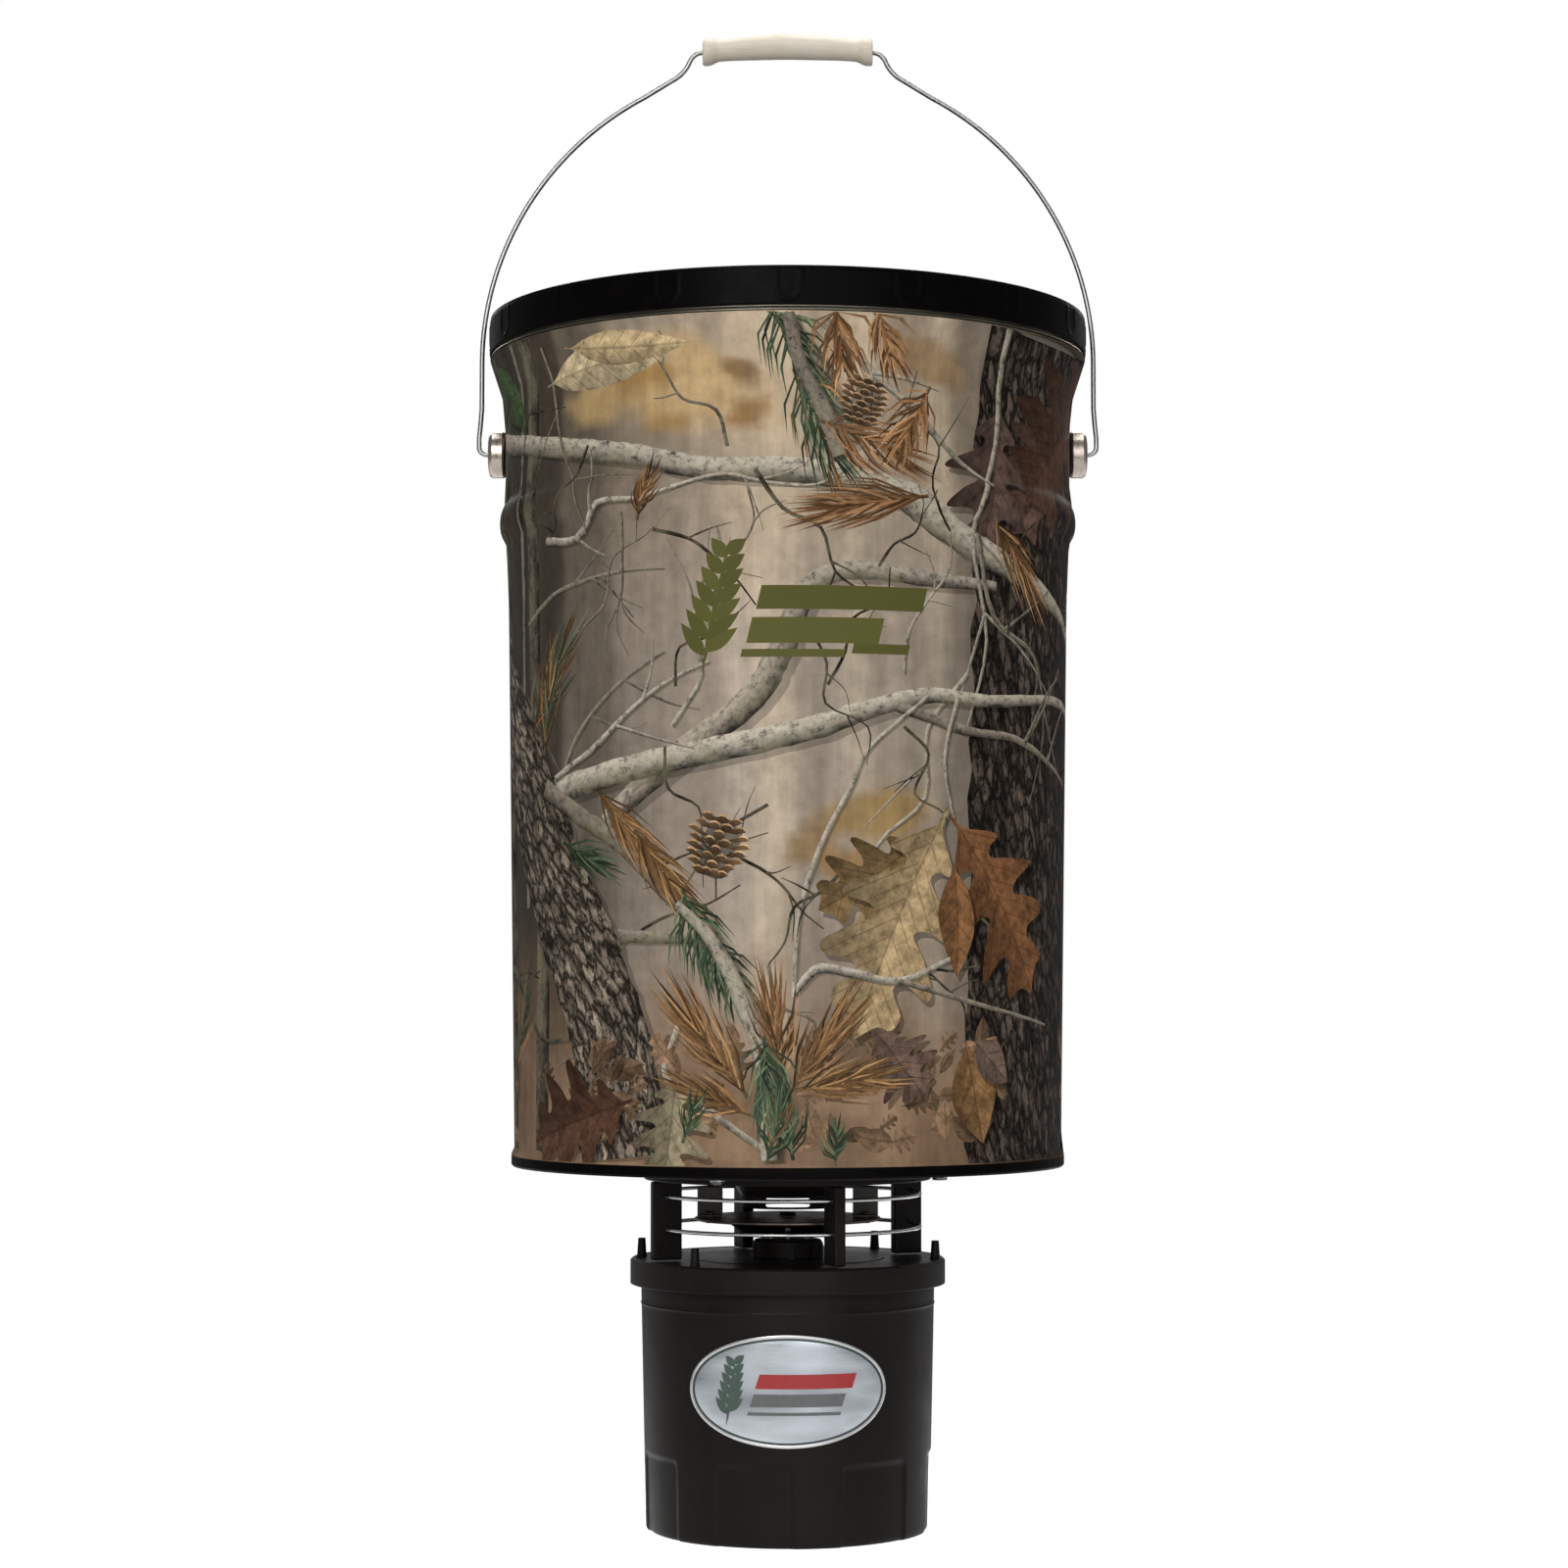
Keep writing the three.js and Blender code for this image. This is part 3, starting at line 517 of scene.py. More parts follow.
def clouded(name, dark, light, grain, gloss, bump, **sockets):
    """A plain finish: one noise mixes two shades, varies the roughness and raises a fine bump."""
    paint = Paint(name, **sockets)
    cloud = paint.noise(*grain)
    paint.use(paint.mix(cloud, dark, light), paint.spread(cloud, *gloss))
    return paint.bump(cloud, *bump).material


def insulation(name, dark, light):
    """Soft coloured plastic, as on the leads; ink on the badge has the same finish."""
    return clouded(name, dark, light, (300, 3), (0.32, 0.5), (0.1, 0.05))


def badge_paint(name, colour):
    """Brushed silver foil, with soft bands of painted sheen in its colour."""
    paint = Paint(name, Metallic=0.75)
    lines = paint.noise(1.0, 5, 0.6, vector=paint.scaled(50, 50, 1500))
    # Painted sheen: broad soft bands of lighter and darker foil colour stand in for the gleam of its
    # reflections.
    sheen_bands = paint.noise(1.0, 2, vector=paint.scaled(9, 9, 34))
    sheen_bands = paint.ramp(sheen_bands, [(0.34, 0.0), (0.5, 1.0), (0.66, 0.25)])
    shade = paint.mix(sheen_bands, tuple(0.62 * c for c in colour), tuple(1.12 * c for c in colour))
    paint.use(shade, paint.spread(lines, 0.24, 0.42))
    return paint.bump(lines, 0.08, 0.04).material


def battery_wrap(name, low, high):
    """A printed sleeve between two heights in metres: deep blue, a pale band and fine shrink lines."""
    paint = Paint(name, Roughness=0.35)
    height = paint.parts(paint.coordinates)[2]
    cloud = paint.noise(40, 4)
    blue = paint.mix(cloud, (0.012, 0.04, 0.1), (0.022, 0.065, 0.15))
    band = paint.ramp(paint.span(height, low, high), [(0.0, 0.0), (0.62, 1.0), (0.78, 0.0)], "CONSTANT")
    paint.use(paint.mix(band, blue, (0.55, 0.56, 0.56)), paint.spread(cloud, 0.28, 0.42))
    return paint.bump(paint.noise(1.0, 4, vector=paint.scaled(60, 60, 500)), 0.15, 0.15).material


def board_green(name):
    """A green circuit board with paler tracks."""
    paint = Paint(name, Roughness=0.35)
    lines = paint.cells(260, feature="DISTANCE_TO_EDGE")
    tracks = paint.ramp(lines, [(0.0, 1.0), (0.09, 1.0), (0.1, 0.0)])
    colour = paint.mix(tracks, (0.012, 0.09, 0.035), (0.03, 0.17, 0.07))
    paint.use(colour, paint.spread(paint.noise(90), 0.28, 0.42))
    return paint.bump(tracks, 0.2, 0.05).material


black_enamel = enamel_black("black_enamel")

# Looks: the materials of a piece, and the record's slot that they stand for.
MOULDING = ([moulded_black("black_moulding")], "black_plastic")
PLATE_MOULDING = (MOULDING[0] + [moulded_black("glossy_moulding", 0.2, 0.6, 0.26, 0.36)], "black_plastic")
CUP_MOULDING = ([moulded_black("cup_moulding", 0.2)], "black_plastic")
ENAMEL = ([black_enamel], "lid_black")
PLATED = ([drawn_steel("zinc_plate")], "bright_steel")
RING_WIRE = ([drawn_steel("ring_steel", (0.62, 0.62, 0.61), (300, 300, 300), 0.16, 0.3)], "bright_steel")
BAIL_WIRE = ([galvanised("bail_zinc", (0.40, 0.395, 0.39), 600)], "galvanised_wire")
# The spinner's zinc is darkened to brown and the fins' steel to near black: painted shade for the dark
# underside of the pail that they sit under and mirror.
SHADED_SPINNER_ZINC = ([galvanised("shaded_spinner_zinc", (0.2, 0.165, 0.135), 130)], "spinner_metal")
SHADED_FIN_STEEL = ([galvanised("shaded_fin_steel", (0.07, 0.064, 0.06), 260)], "spinner_metal")
STRAP_ZINC = ([galvanised("plain_zinc", (0.40, 0.40, 0.40), 120)], "galvanised_wire")
BOTTOM_ZINC = (STRAP_ZINC[0], "printed_steel")
EAR_NICKEL = ([drawn_steel("ear_nickel", (0.55, 0.48, 0.42), (900, 60, 60), 0.22, 0.4)], "ear_metal")
COPPER = ([drawn_steel("copper", (0.55, 0.27, 0.16), (300, 300, 300), 0.24, 0.45)], "copper_rivet")
IVORY = ([cream_plastic("ivory")], "cream_plastic")
RUBBER = ([clouded("black_rubber", (0.012, 0.012, 0.012), (0.03, 0.029, 0.028), (900, 4), (0.66, 0.88),
                   (0.3, 0.08), Roughness=0.8)], "black_rubber")
WIRE = {
    "red": ([insulation("red_insulation", (0.36, 0.018, 0.014), (0.55, 0.03, 0.022))], "red_insulation"),
    "black": (
        [insulation("black_insulation", (0.01, 0.01, 0.011), (0.028, 0.028, 0.03))],
        "black_insulation",
    ),
}
BADGE = ([badge_paint("badge_face", (0.56, 0.6, 0.64)), badge_paint("badge_border", (0.66, 0.67, 0.68)),
          insulation("badge_line", (0.03, 0.04, 0.04), (0.06, 0.07, 0.07))], "badge_silver")
SPRIG_INK = ([insulation("sprig_green", (0.045, 0.075, 0.062), (0.075, 0.11, 0.092))], "badge_silver")
RED_INK = ([insulation("bar_red", (0.32, 0.018, 0.02), (0.4, 0.03, 0.032))], "badge_silver")
GREY_INK = ([insulation("bar_grey", (0.09, 0.1, 0.1), (0.14, 0.15, 0.15))], "badge_silver")
BOARD = ([board_green("board_green")], "green_board")
DISPLAY = ([clouded("display_grey", (0.26, 0.3, 0.22), (0.32, 0.36, 0.27), (35, 3), (0.1, 0.2), (0.05, 0.05),
                    Coat_Weight=0.8, Coat_Roughness=0.05)], "display_grey")
BUTTON = ([clouded("button_grey", (0.2, 0.21, 0.22), (0.3, 0.31, 0.32), (500, 4), (0.5, 0.68),
                   (0.2, 0.06))], "button_grey")


# ---------------------------------------------------------------- camera, light and floor

FLOOR_HEIGHT = -0.17        # metres: the feeder hangs, and its canister comes down 0.15 m
FLOOR_HALF_SIDE = 1.5
EYE = (-0.002, -1.908, 0.2926)
LOOKS_AT = (-0.002, 0.0, 0.3986)
BODY_CENTRE = (0, 0, 0.35)
LID_CENTRE = (0, 0, 0.4)
FLOOR_BEHIND = (0, 0.9, FLOOR_HEIGHT)


def aimed(name, data, place, target):
    thing = in_scene(bpy.data.objects.new(name, data))
    thing.location = place
    thing.rotation_euler = (Vector(target) - Vector(place)).to_track_quat("-Z", "Y").to_euler()
    return thing


def softbox(name, place, target, width, height, watts, colour=(1, 1, 1)):
    lamp = bpy.data.lights.new(name, "AREA")
    lamp.shape = "RECTANGLE"
    lamp.size, lamp.size_y, lamp.energy, lamp.color = width, height, watts, colour
    aimed(name, lamp, place, target)


def studio_world(backdrop, soft, mirrored):
    """A white studio: its strength as the backdrop, as soft light and as what gloss reflects."""
    world = bpy.data.worlds.new("studio")
    world.use_nodes = True
    tree = world.node_tree
    background = tree.nodes["Background"]
    background.inputs["Color"].default_value = (1, 1, 1, 1)
    ray = tree.nodes.new("ShaderNodeLightPath")
    steps = []
    for kind, amount in (("Is Camera Ray", backdrop - soft), ("Is Glossy Ray", mirrored - soft)):
        step = tree.nodes.new("ShaderNodeMath")
        step.operation = "MULTIPLY_ADD"
        tree.links.new(ray.outputs[kind], step.inputs[0])
        step.inputs[1].default_value = amount
        steps.append(step)
    steps[0].inputs[2].default_value = soft
    tree.links.new(steps[0].outputs[0], steps[1].inputs[2])
    tree.links.new(steps[1].outputs[0], background.inputs["Strength"])
    bpy.context.scene.world = world


lens = bpy.data.cameras.new("camera")
lens.lens = 81.0
lens.sensor_width = 36.0
lens.clip_start, lens.clip_end = 0.05, 50.0
bpy.context.scene.camera = aimed("camera", lens, EYE, LOOKS_AT)

studio_world(1.0, 0.18, 0.18)
softbox("key", (-0.6, -2.6, 1.4), BODY_CENTRE, 1.1, 1.4, 35, (1.0, 0.985, 0.96))
softbox("fill", (0.8, -2.5, 0.7), BODY_CENTRE, 1.2, 1.5, 11, (0.97, 0.985, 1.0))
softbox("top", (0.1, 0.2, 2.6), LID_CENTRE, 1.6, 1.4, 34)
softbox("back", (0, 1.9, 1.6), FLOOR_BEHIND, 2.8, 1.2, 46)
bpy.context.scene.view_settings.view_transform = "Standard"


def add_floor():
    corners = [(-1, -1), (1, -1), (1, 1), (-1, 1)]
    mesh = bpy.data.meshes.new("floor")
    mesh.from_pydata([(x * FLOOR_HALF_SIDE, y * FLOOR_HALF_SIDE, FLOOR_HEIGHT) for x, y in corners], [],
                     [(0, 1, 2, 3)])
    paint = Paint("pale_floor", Roughness=0.75)
    paint.use(paint.mix(paint.noise(3, 2), (0.9, 0.9, 0.9), (0.95, 0.95, 0.95)))
    mesh.materials.append(paint.material)
    in_scene(bpy.data.objects.new("floor", mesh))


# ---------------------------------------------------------------- housing under the pail

GAP = 0.3                   # between moulded pieces that touch
THROAT = 32.3               # radius of the flange's hole
RING_RADIUS = 71.0
POST_CIRCLE = 79.5
SCREW_CIRCLE = 88.0
MOTOR_RADIUS = 13.8
SET_SCREW_HEIGHT = 159.7
FIN_HALF = (35, 48.6)       # a fin's inner and outer end


def add_housing():
    outline = [(THROAT, 190), (60, 190), (60, 186), (77, 186), (77, 190), (98.6, 190)]
    outline += [(100, 191.4), (100, 193.3), (THROAT, 193.3)]
    finish_piece("flange_moulding", lathe(outline, 160).mesh(), MOULDING, "feeder", "mount_flange")

    outline = [(23.5, 170.8), (25.5, 170.8), (25.5, 177.6), (31, 186), (31.9, 186.5), (31.9, 195.3)]
    outline += [(45, 195.3), (45, 196.3), (43, 197.3), (29.9, 191.3), (29, 186), (23.5, 177.6)]
    window = block((-11.7, -32, 172), (11.7, 32, 176.8), 1.1)
    finish_piece("funnel_moulding", cut_away(lathe(outline).mesh(), [window]), MOULDING, "feeder", "funnel")

    for i in range(4):
        rib = block((-3.15, -77, 144.3), (3.15, -61, 185.7), 1.0, 20.7 + 90 * i)
        finish_piece(f"leg_moulding_{i + 1}", rib, MOULDING, "feeder", f"housing_leg_{i + 1}")

    t = even_turn(144)
    for name, z in (("lower", 160.5), ("upper", 178.0)):
        path = np.stack([RING_RADIUS * np.sin(t), -RING_RADIUS * np.cos(t), 0 * t + z], 1)
        ring = tube(path, 1.1, 14, closed=True)
        finish_piece(f"guard_wire_{name}", ring.mesh(), RING_WIRE, "feeder", f"guard_ring_{name}")

    outline = [(14.6, 140.5), (82, 140.5), (82, 130.5), (84.5, 130.5), (84.5, 142.8), (83.3, 144)]
    outline += [(81.6, 144), (81.0, 143.6), (52, 143.6), (51.4, 144), (14.6, 144)]
    plate = lathe(outline, 192, 0.45)
    post = turned_solid([(0, 143.4), (3.3, 143.4), (2.55, 144.6), (2.0, 153.5), (0, 153.5)], 28, 0.45)
    for azimuth in (-37.4, 82.6, 142.6, 262.6):
        plate.put(post, at_azimuth(POST_CIRCLE, azimuth))
    mesh = plate.mesh()
    for face in mesh.polygons:
        face.material_index = int(face.normal.z > 0.95)
    finish_piece("plate_moulding", mesh, PLATE_MOULDING, "feeder", "top_plate", "plate_skirt")

    shank = [(0, 188.9), (4.2, 188.9), (4.2, 189.7), (2.2, 189.7), (2.2, 200.6), (0, 200.6)]
    screw = turned_solid(shank, 32, 0.2).put(six_sided(3.4, 187.1, 189.1))
    nut = six_sided(4.0, 195.3, 198.5, 2.5)
    for i in range(1, 5):
        place = at_azimuth(SCREW_CIRCLE, 90 * i - 24.3)
        for name, solid in (("screw", screw), ("nut", nut)):
            mesh = sharp_shading(placed(solid, place).mesh())
            finish_piece(f"{name}_{i}", mesh, PLATED, "feeder", f"flange_{name}_{i}")


def add_motor():
    outline = [(16, 144.3), (18.5, 144.3), (18.5, 152.6), (17.5, 153.6), (4, 153.6), (4, 151.1), (16, 151.1)]
    meshes = [lathe(outline, 96).mesh()]
    meshes += [block((-0.8, -19.6, 144.3), (0.8, -17.7, 151.6), azimuth=15 + 30 * k) for k in range(12)]
    finish_piece("boss_moulding", joined(meshes), MOULDING, "feeder", "motor_boss")

    can = pin(MOTOR_RADIUS, 121.5, 150.8, 64, 0.9).mesh()
    finish_piece("motor_shell", can, PLATED, "feeder", "motor_can")
    outline = [(0, 118.5), (12.4, 118.5), (MOTOR_RADIUS, 119.3), (MOTOR_RADIUS, 121.2), (0, 121.2)]
    finish_piece("motor_cap", turned_solid(outline, 64).mesh(), MOULDING, "feeder", "motor_end_cap")
    outline = [(0, 151.1), (1.5, 151.1), (1.5, 153.9), (2.8, 153.9), (2.8, 154.7), (1.8, 155.4), (0, 155.4)]
    screw = turned_solid(outline, 28, 0.25)
    for name, side in SIDES:
        mesh = placed(screw, (9.5 * side, 0, 0)).mesh()
        finish_piece(f"motor_fixing_{name}", mesh, PLATED, "feeder", f"motor_screw_{name}")
    finish_piece("drive_shaft", pin(1.6, 151.1, 168.4, 32).mesh(), PLATED, "spinner", "motor_shaft")


def add_spinner():
    outline = [(1.9, 156.1), (23.5, 156.1), (32, 162.4), (32, 163.6), (1.9, 163.6)]
    screw_place = (0, 0, SET_SCREW_HEIGHT)
    way = placed(pin(1.8, 0, 40, 24, 0.1), screw_place, Z_TO_MINUS_Y)
    hub = cut_away(lathe(outline, 96).mesh(), [way.mesh()])
    finish_piece("hub_moulding", hub, MOULDING, "spinner", "spinner_hub")
    outline = [(0, 2.3), (1.45, 2.3), (1.45, 12), (0.75, 12), (0.75, 11.2), (0, 11.2)]
    screw = placed(turned_solid(outline, 24, 0.1), screw_place, Z_TO_MINUS_Y)
    finish_piece("grub_screw", sharp_shading(screw.mesh()), PLATED, "spinner", "hub_set_screw")

    outline = [(1.9, 163.9), (49.4, 163.9), (50, 164.3), (50, 165.2), (49.4, 165.5), (1.9, 165.5)]
    finish_piece("spinner_disc", lathe(outline, radius=0.25).mesh(), SHADED_SPINNER_ZINC, "spinner", "spinner_plate")
    outline = [(0, 162.4), (1.8, 162.4), (2.6, 163.6), (1.35, 163.6), (1.35, 167.3), (2.8, 167.3)]
    outline.append((2.2, 168.3))
    rivet = turned_solid(outline + [(0, 168.8)], 32, 0.3)
    for name, side in SIDES:
        inner, outer = sorted(end * side for end in FIN_HALF)
        wall = block((inner, 0, 165.8), (outer, 1.2, 181.4), 0.25)
        foot = block((inner + 1, -9, 165.8), (outer - 1, 0.5, 167.0), 0.25)
        finish_piece(f"fin_{name}", joined([wall, foot]), SHADED_FIN_STEEL, "spinner", f"spinner_fin_{name}")
        mesh = placed(rivet, (42 * side, -4.9, 0)).mesh()
        finish_piece(f"rivet_{name}", mesh, COPPER, "spinner", f"fin_rivet_{name}")
    nut = six_sided(3.7, 165.8, 168.2, 1.9)
    finish_piece("shaft_nut", sharp_shading(nut.mesh()), PLATED, "spinner", "spinner_nut")


# ---------------------------------------------------------------- canister

CUP_WALL_TOP = 131.0        # the cup's wall leans out up to here
CUP_LOW, CUP_HIGH = 75.8, 78.7
CUP_BOTTOM = 2.5            # its bottom sheet is this thick
FLUTES = 7
FLUTE_PITCH = 360 / FLUTES
FLUTE_CENTRE = -13.8
FLUTE_HALF = 22.2
FLUTE_TOP = 43.0
FLUTE_CORNER = 5.0
FLUTE_DEPTH = 1.2
BADGE_HEIGHT = 81.0
BADGE_SIZE = (108.5, 58.2)
BADGE_GAP = 0.6             # from the cup's wall to the badge's back


def cup_radius(z):
    return CUP_LOW + (CUP_HIGH - CUP_LOW) * np.minimum(z, CUP_WALL_TOP) / CUP_WALL_TOP


def flute_depth(azimuth, z):
    """Depth of the finger flutes, which are rounded rectangles open at the foot."""
    turn = (azimuth - FLUTE_CENTRE + FLUTE_PITCH / 2) % FLUTE_PITCH - FLUTE_PITCH / 2
    side = np.abs(np.radians(turn)) * CUP_LOW - (FLUTE_HALF - FLUTE_CORNER)
    rise = z - (FLUTE_TOP - FLUTE_CORNER)
    corner = np.hypot(np.maximum(side, 0), np.maximum(rise, 0)) + np.minimum(np.maximum(side, rise), 0)
    return FLUTE_DEPTH * (1 - smooth(corner - FLUTE_CORNER, -3.4, 0.3))


def add_cup():
    near_edge = np.arange(14.0, 17.6, 0.36)
    steps = np.concatenate([[0], np.arange(2.5, 13.5, 2.5), near_edge, np.arange(19.5, FLUTE_PITCH / 2, 2.2)])
    one = np.unique(np.concatenate([-steps, steps]))
    azimuths = np.concatenate([FLUTE_CENTRE + k * FLUTE_PITCH + one for k in range(FLUTES)])
    t = np.radians(azimuths)
    heights = [*np.arange(1.6, 36, 2.6), *np.arange(36.5, 44.2, 0.55), 47, 52, 58, *range(66, 115, 8)]
    heights = np.array(heights + [118, 119.4, 119.8, 120.2, 120.7, 121.3, 124, 130.8])
    ridge = 0.45 * np.exp(-(((heights - 120.3) / 0.5) ** 2))
    foot = [(66, 0.35), (67.2, 0), (73.8, 0), (74.6, 0.15), (75.3, 0.75)]
    rim = [(78.5, 131.2), (77.7, 131.7), (77.7, 137.4), (77.4, 137.8), (75.8, 137.8), (75.5, 137.5)]
    inside = [(75.5, 120), (75.4, 100), (75.0, 60), (74.2, 30), (73.4, 8), (72.4, 4.5), (70.4, 2.7)]
    inside += [(68, CUP_BOTTOM)]
    outline = foot + list(zip(cup_radius(heights) + ridge, heights)) + rim + inside
    fluted = range(2, len(foot) + len(heights))
    rows = []
    for i, (radius, z) in enumerate(outline):
        r = radius - flute_depth(azimuths, z) * (i in fluted)
        rows.append(np.stack([r * np.sin(t), -r * np.cos(t), np.full(len(t), z)], 1))
    points = np.concatenate([*rows, [[0, 0, foot[0][1]], [0, 0, CUP_BOTTOM]]])
    mesh = plain_mesh(points, grid_faces(len(rows), len(t)) + close_ends(len(rows), len(t)))
    finish_piece("cup_moulding", even_shading(mesh), CUP_MOULDING, "canister", "canister_cup")


def badge_place(x, y, lift):
    """A point of the badge: x along the curve and y up from its centre, in millimetres."""
    z = BADGE_HEIGHT + y
    angle = x / float(cup_radius(BADGE_HEIGHT))
    radius = cup_radius(z) + BADGE_GAP + lift
    return np.stack([radius * np.sin(angle), -radius * np.cos(angle), z], -1)


def inlay(name, look, strips, lift=1.22, sunk=1.05, size=0.93):
    """Flat strips on the badge, each given by the points of its two long sides."""
    points, faces = [], []
    for strip in strips:
        sides = [np.array(side, float) * size for side in strip]
        count, first = len(sides[0]), len(points)
        for up in (lift, sunk):
            for side in sides:
                points += list(badge_place(side[:, 0], side[:, 1], up))
        for low, high in ((0, 1), (2, 0), (1, 3), (3, 2)):
            for j in range(count - 1):
                a, b = first + low * count + j, first + high * count + j
                faces.append((a, b, b + 1, a + 1))
        faces += [[first + row * count + j for row in (0, 1, 3, 2)] for j in (0, count - 1)]
    finish_piece(name, closed_mesh(points, faces), look, "canister")


def leaf_strip(x, y, angle, length, width):
    """The two sides of a pointed leaf that starts at (x, y)."""
    s = np.linspace(0, 1, 10)
    half = 0.06 + width / 2 * np.sin(math.pi * s**0.85)
    c, n = math.cos(angle), math.sin(angle)
    return [np.stack([x + s * length * c - side * half * n, y + s * length * n + side * half * c], 1)
            for side in (1, -1)]


def bar_strip(x0, x1, y0, y1, slant):
    x = np.linspace(x0, x1, 24)
    return [np.stack([x, 0 * x + y0], 1), np.stack([x + slant, 0 * x + y1], 1)]


def add_badge():
    """An oval plate with a raised border inside a dark line, and a generic sprig beside plain bars."""
    half_width, half_height = BADGE_SIZE[0] / 2, BADGE_SIZE[1] / 2
    columns = 160
    t = even_turn(columns)
    # distance from the centre as a part of the half height, and lift
    face = [(0.03, 1.0), (0.2, 1.0), (0.4, 1.0), (0.6, 1.0), (0.78, 1.0), (0.9, 1.0)]
    line = [(0.925, 0.86), (0.943, 0.86)]
    border = [(0.96, 1.02), (0.985, 1.05), (0.997, 0.85), (1.0, 0.4)]
    back = [(0.996, 0.0), (0.9, 0.0), (0.5, 0.0)]
    bands = face + line + border + back
    rows = []
    for part, lift in bands:
        even_border = half_width - (1 - part) * half_height
        blend = max(0, (part - 0.6) / 0.4)
        x = (blend * even_border + (1 - blend) * half_width * part) * np.cos(t)
        rows.append(badge_place(x, half_height * part * np.sin(t), lift * 1.1))
    points = np.concatenate([*rows, [badge_place(0.0, 0.0, 1.1), badge_place(0.0, 0.0, 0.0)]])
    faces = grid_faces(len(rows), columns) + close_ends(len(rows), columns)
    mesh = closed_mesh(points, [face[::-1] for face in faces], 40)
    line_rows = (len(face) - 1, len(face))
    for polygon in mesh.polygons:
        row = min(polygon.vertices) // columns
        polygon.material_index = 2 if row in line_rows else int(line_rows[1] < row < len(rows))
    finish_piece("badge_plate", mesh, BADGE, "canister", "canister_badge")

    leaves = [leaf_strip(-34.5, -19, 1.42, 38, 2.0)]
    for k in range(6):
        for angle, rise in ((2.25, 0), (0.72, 1.5)):
            leaves.append(leaf_strip(-33.6 + 0.8 * k, -13 + 5.3 * k + rise, angle, 11.5 - 0.8 * k, 4.4))
    inlay("badge_sprig", SPRIG_INK, leaves)
    inlay("badge_bar_red", RED_INK, [bar_strip(-18, 36, 1.5, 9.5, 2.6)])
    bars = [bar_strip(-21, 30, -8.5, -1.5, 2.4), bar_strip(-22.5, 29, -13.2, -11.4, 0.6)]
    inlay("badge_bar_grey", GREY_INK, bars)


def add_seal():
    ring = lathe([(74.5, 138.1), (78.5, 138.1), (78.5, 140.2), (74.5, 140.2)], radius=0.6)
    finish_piece("seal_ring", ring.mesh(), RUBBER, "canister_collar", "canister_seal")


# ---------------------------------------------------------------- battery, its carrier and leads

BATTERY_HALF = 33.8
BATTERY_CHAMFER = 5
BATTERY_Y = 14
BATTERY_LOW, BATTERY_HIGH = 9.8, 106.8
STRAP_HALF_WIDTH = 16
TERMINALS = (("left", -18, 30, "red"), ("right", 20, 36, "black"))
CLIP_TOP = 118.7
PLATE_FRONT = -44.1         # where the leads leave the timer's board
LEAD_CEILING = 126.2
LEAD_RADIUS = 0.8


def add_battery():
    inner = BATTERY_HALF - BATTERY_CHAMFER
    corners = [(BATTERY_HALF, inner), (inner, BATTERY_HALF), (-inner, BATTERY_HALF), (-BATTERY_HALF, inner)]
    corners = np.array(corners + [(-x, -y) for x, y in corners])
    ring = []
    for a, b in zip(corners, np.roll(corners, -1, 0)):
        ring += [a + (b - a) * s for s in np.linspace(0, 1, 6, endpoint=False)]
    ring = np.array(ring)
    direction = ring / np.linalg.norm(ring, axis=1)[:, None]
    levels = [(1.4, BATTERY_LOW), (0.5, 10.0), (0.1, 10.6), (0.0, 12.0), (0.0, 104.0), (0.1, 105.6)]
    levels.append((0.6, 106.4))
    levels.append((2.4, BATTERY_HIGH))
    rows = [np.column_stack([ring - direction * inset, np.full(len(ring), z)]) for inset, z in levels]
    count, last = len(ring), (len(rows) - 1) * len(ring)
    faces = [face[::-1] for face in grid_faces(len(rows), count)]
    faces += [tuple(range(count)), tuple(last + j for j in range(count))[::-1]]
    mesh = closed_mesh(np.concatenate(rows) + [0, BATTERY_Y, 0], faces, 40)
    wrap = battery_wrap("battery_wrap", BATTERY_LOW * MM, BATTERY_HIGH * MM)
    finish_piece("battery", mesh, ([wrap], "battery_blue"), "feeder", "battery_case")


def add_carrier():
    inner = BATTERY_HALF + GAP
    outer = inner + 2
    low, high = BATTERY_Y - STRAP_HALF_WIDTH, BATTERY_Y + STRAP_HALF_WIDTH
    parts = [block((-outer, low, 7.5), (outer, high, 9.5))]
    for _, side in SIDES:
        for ends, bottom, top in (((inner, outer), 7.8, 140.0), ((outer - 0.4, outer + 10), 138.2, 140.2)):
            x0, x1 = sorted(end * side for end in ends)
            parts.append(block((x0, low, bottom), (x1, high, top)))
    finish_piece("battery_strap", joined(parts), STRAP_ZINC, "feeder", "battery_carrier")

    for name, x, y, colour in TERMINALS:
        turns = np.linspace(0, 1, 90)
        radius, angle = 6.3 - 3.6 * turns, turns * TURN * 4.2
        path = np.stack([x + radius * np.cos(angle), y + radius * np.sin(angle), 107.8 + 7.2 * turns], 1)
        finish_piece(f"spring_{name}", tube(path, 0.6, 10).mesh(), PLATED, "feeder", f"battery_spring_{name}")
        boot = block((x - 4, y - 4, 116.0), (x + 4, y + 4, 118.4), 0.7)
        finish_piece(f"clip_boot_{name}", boot, WIRE[colour], "feeder", f"lead_clip_{name}")


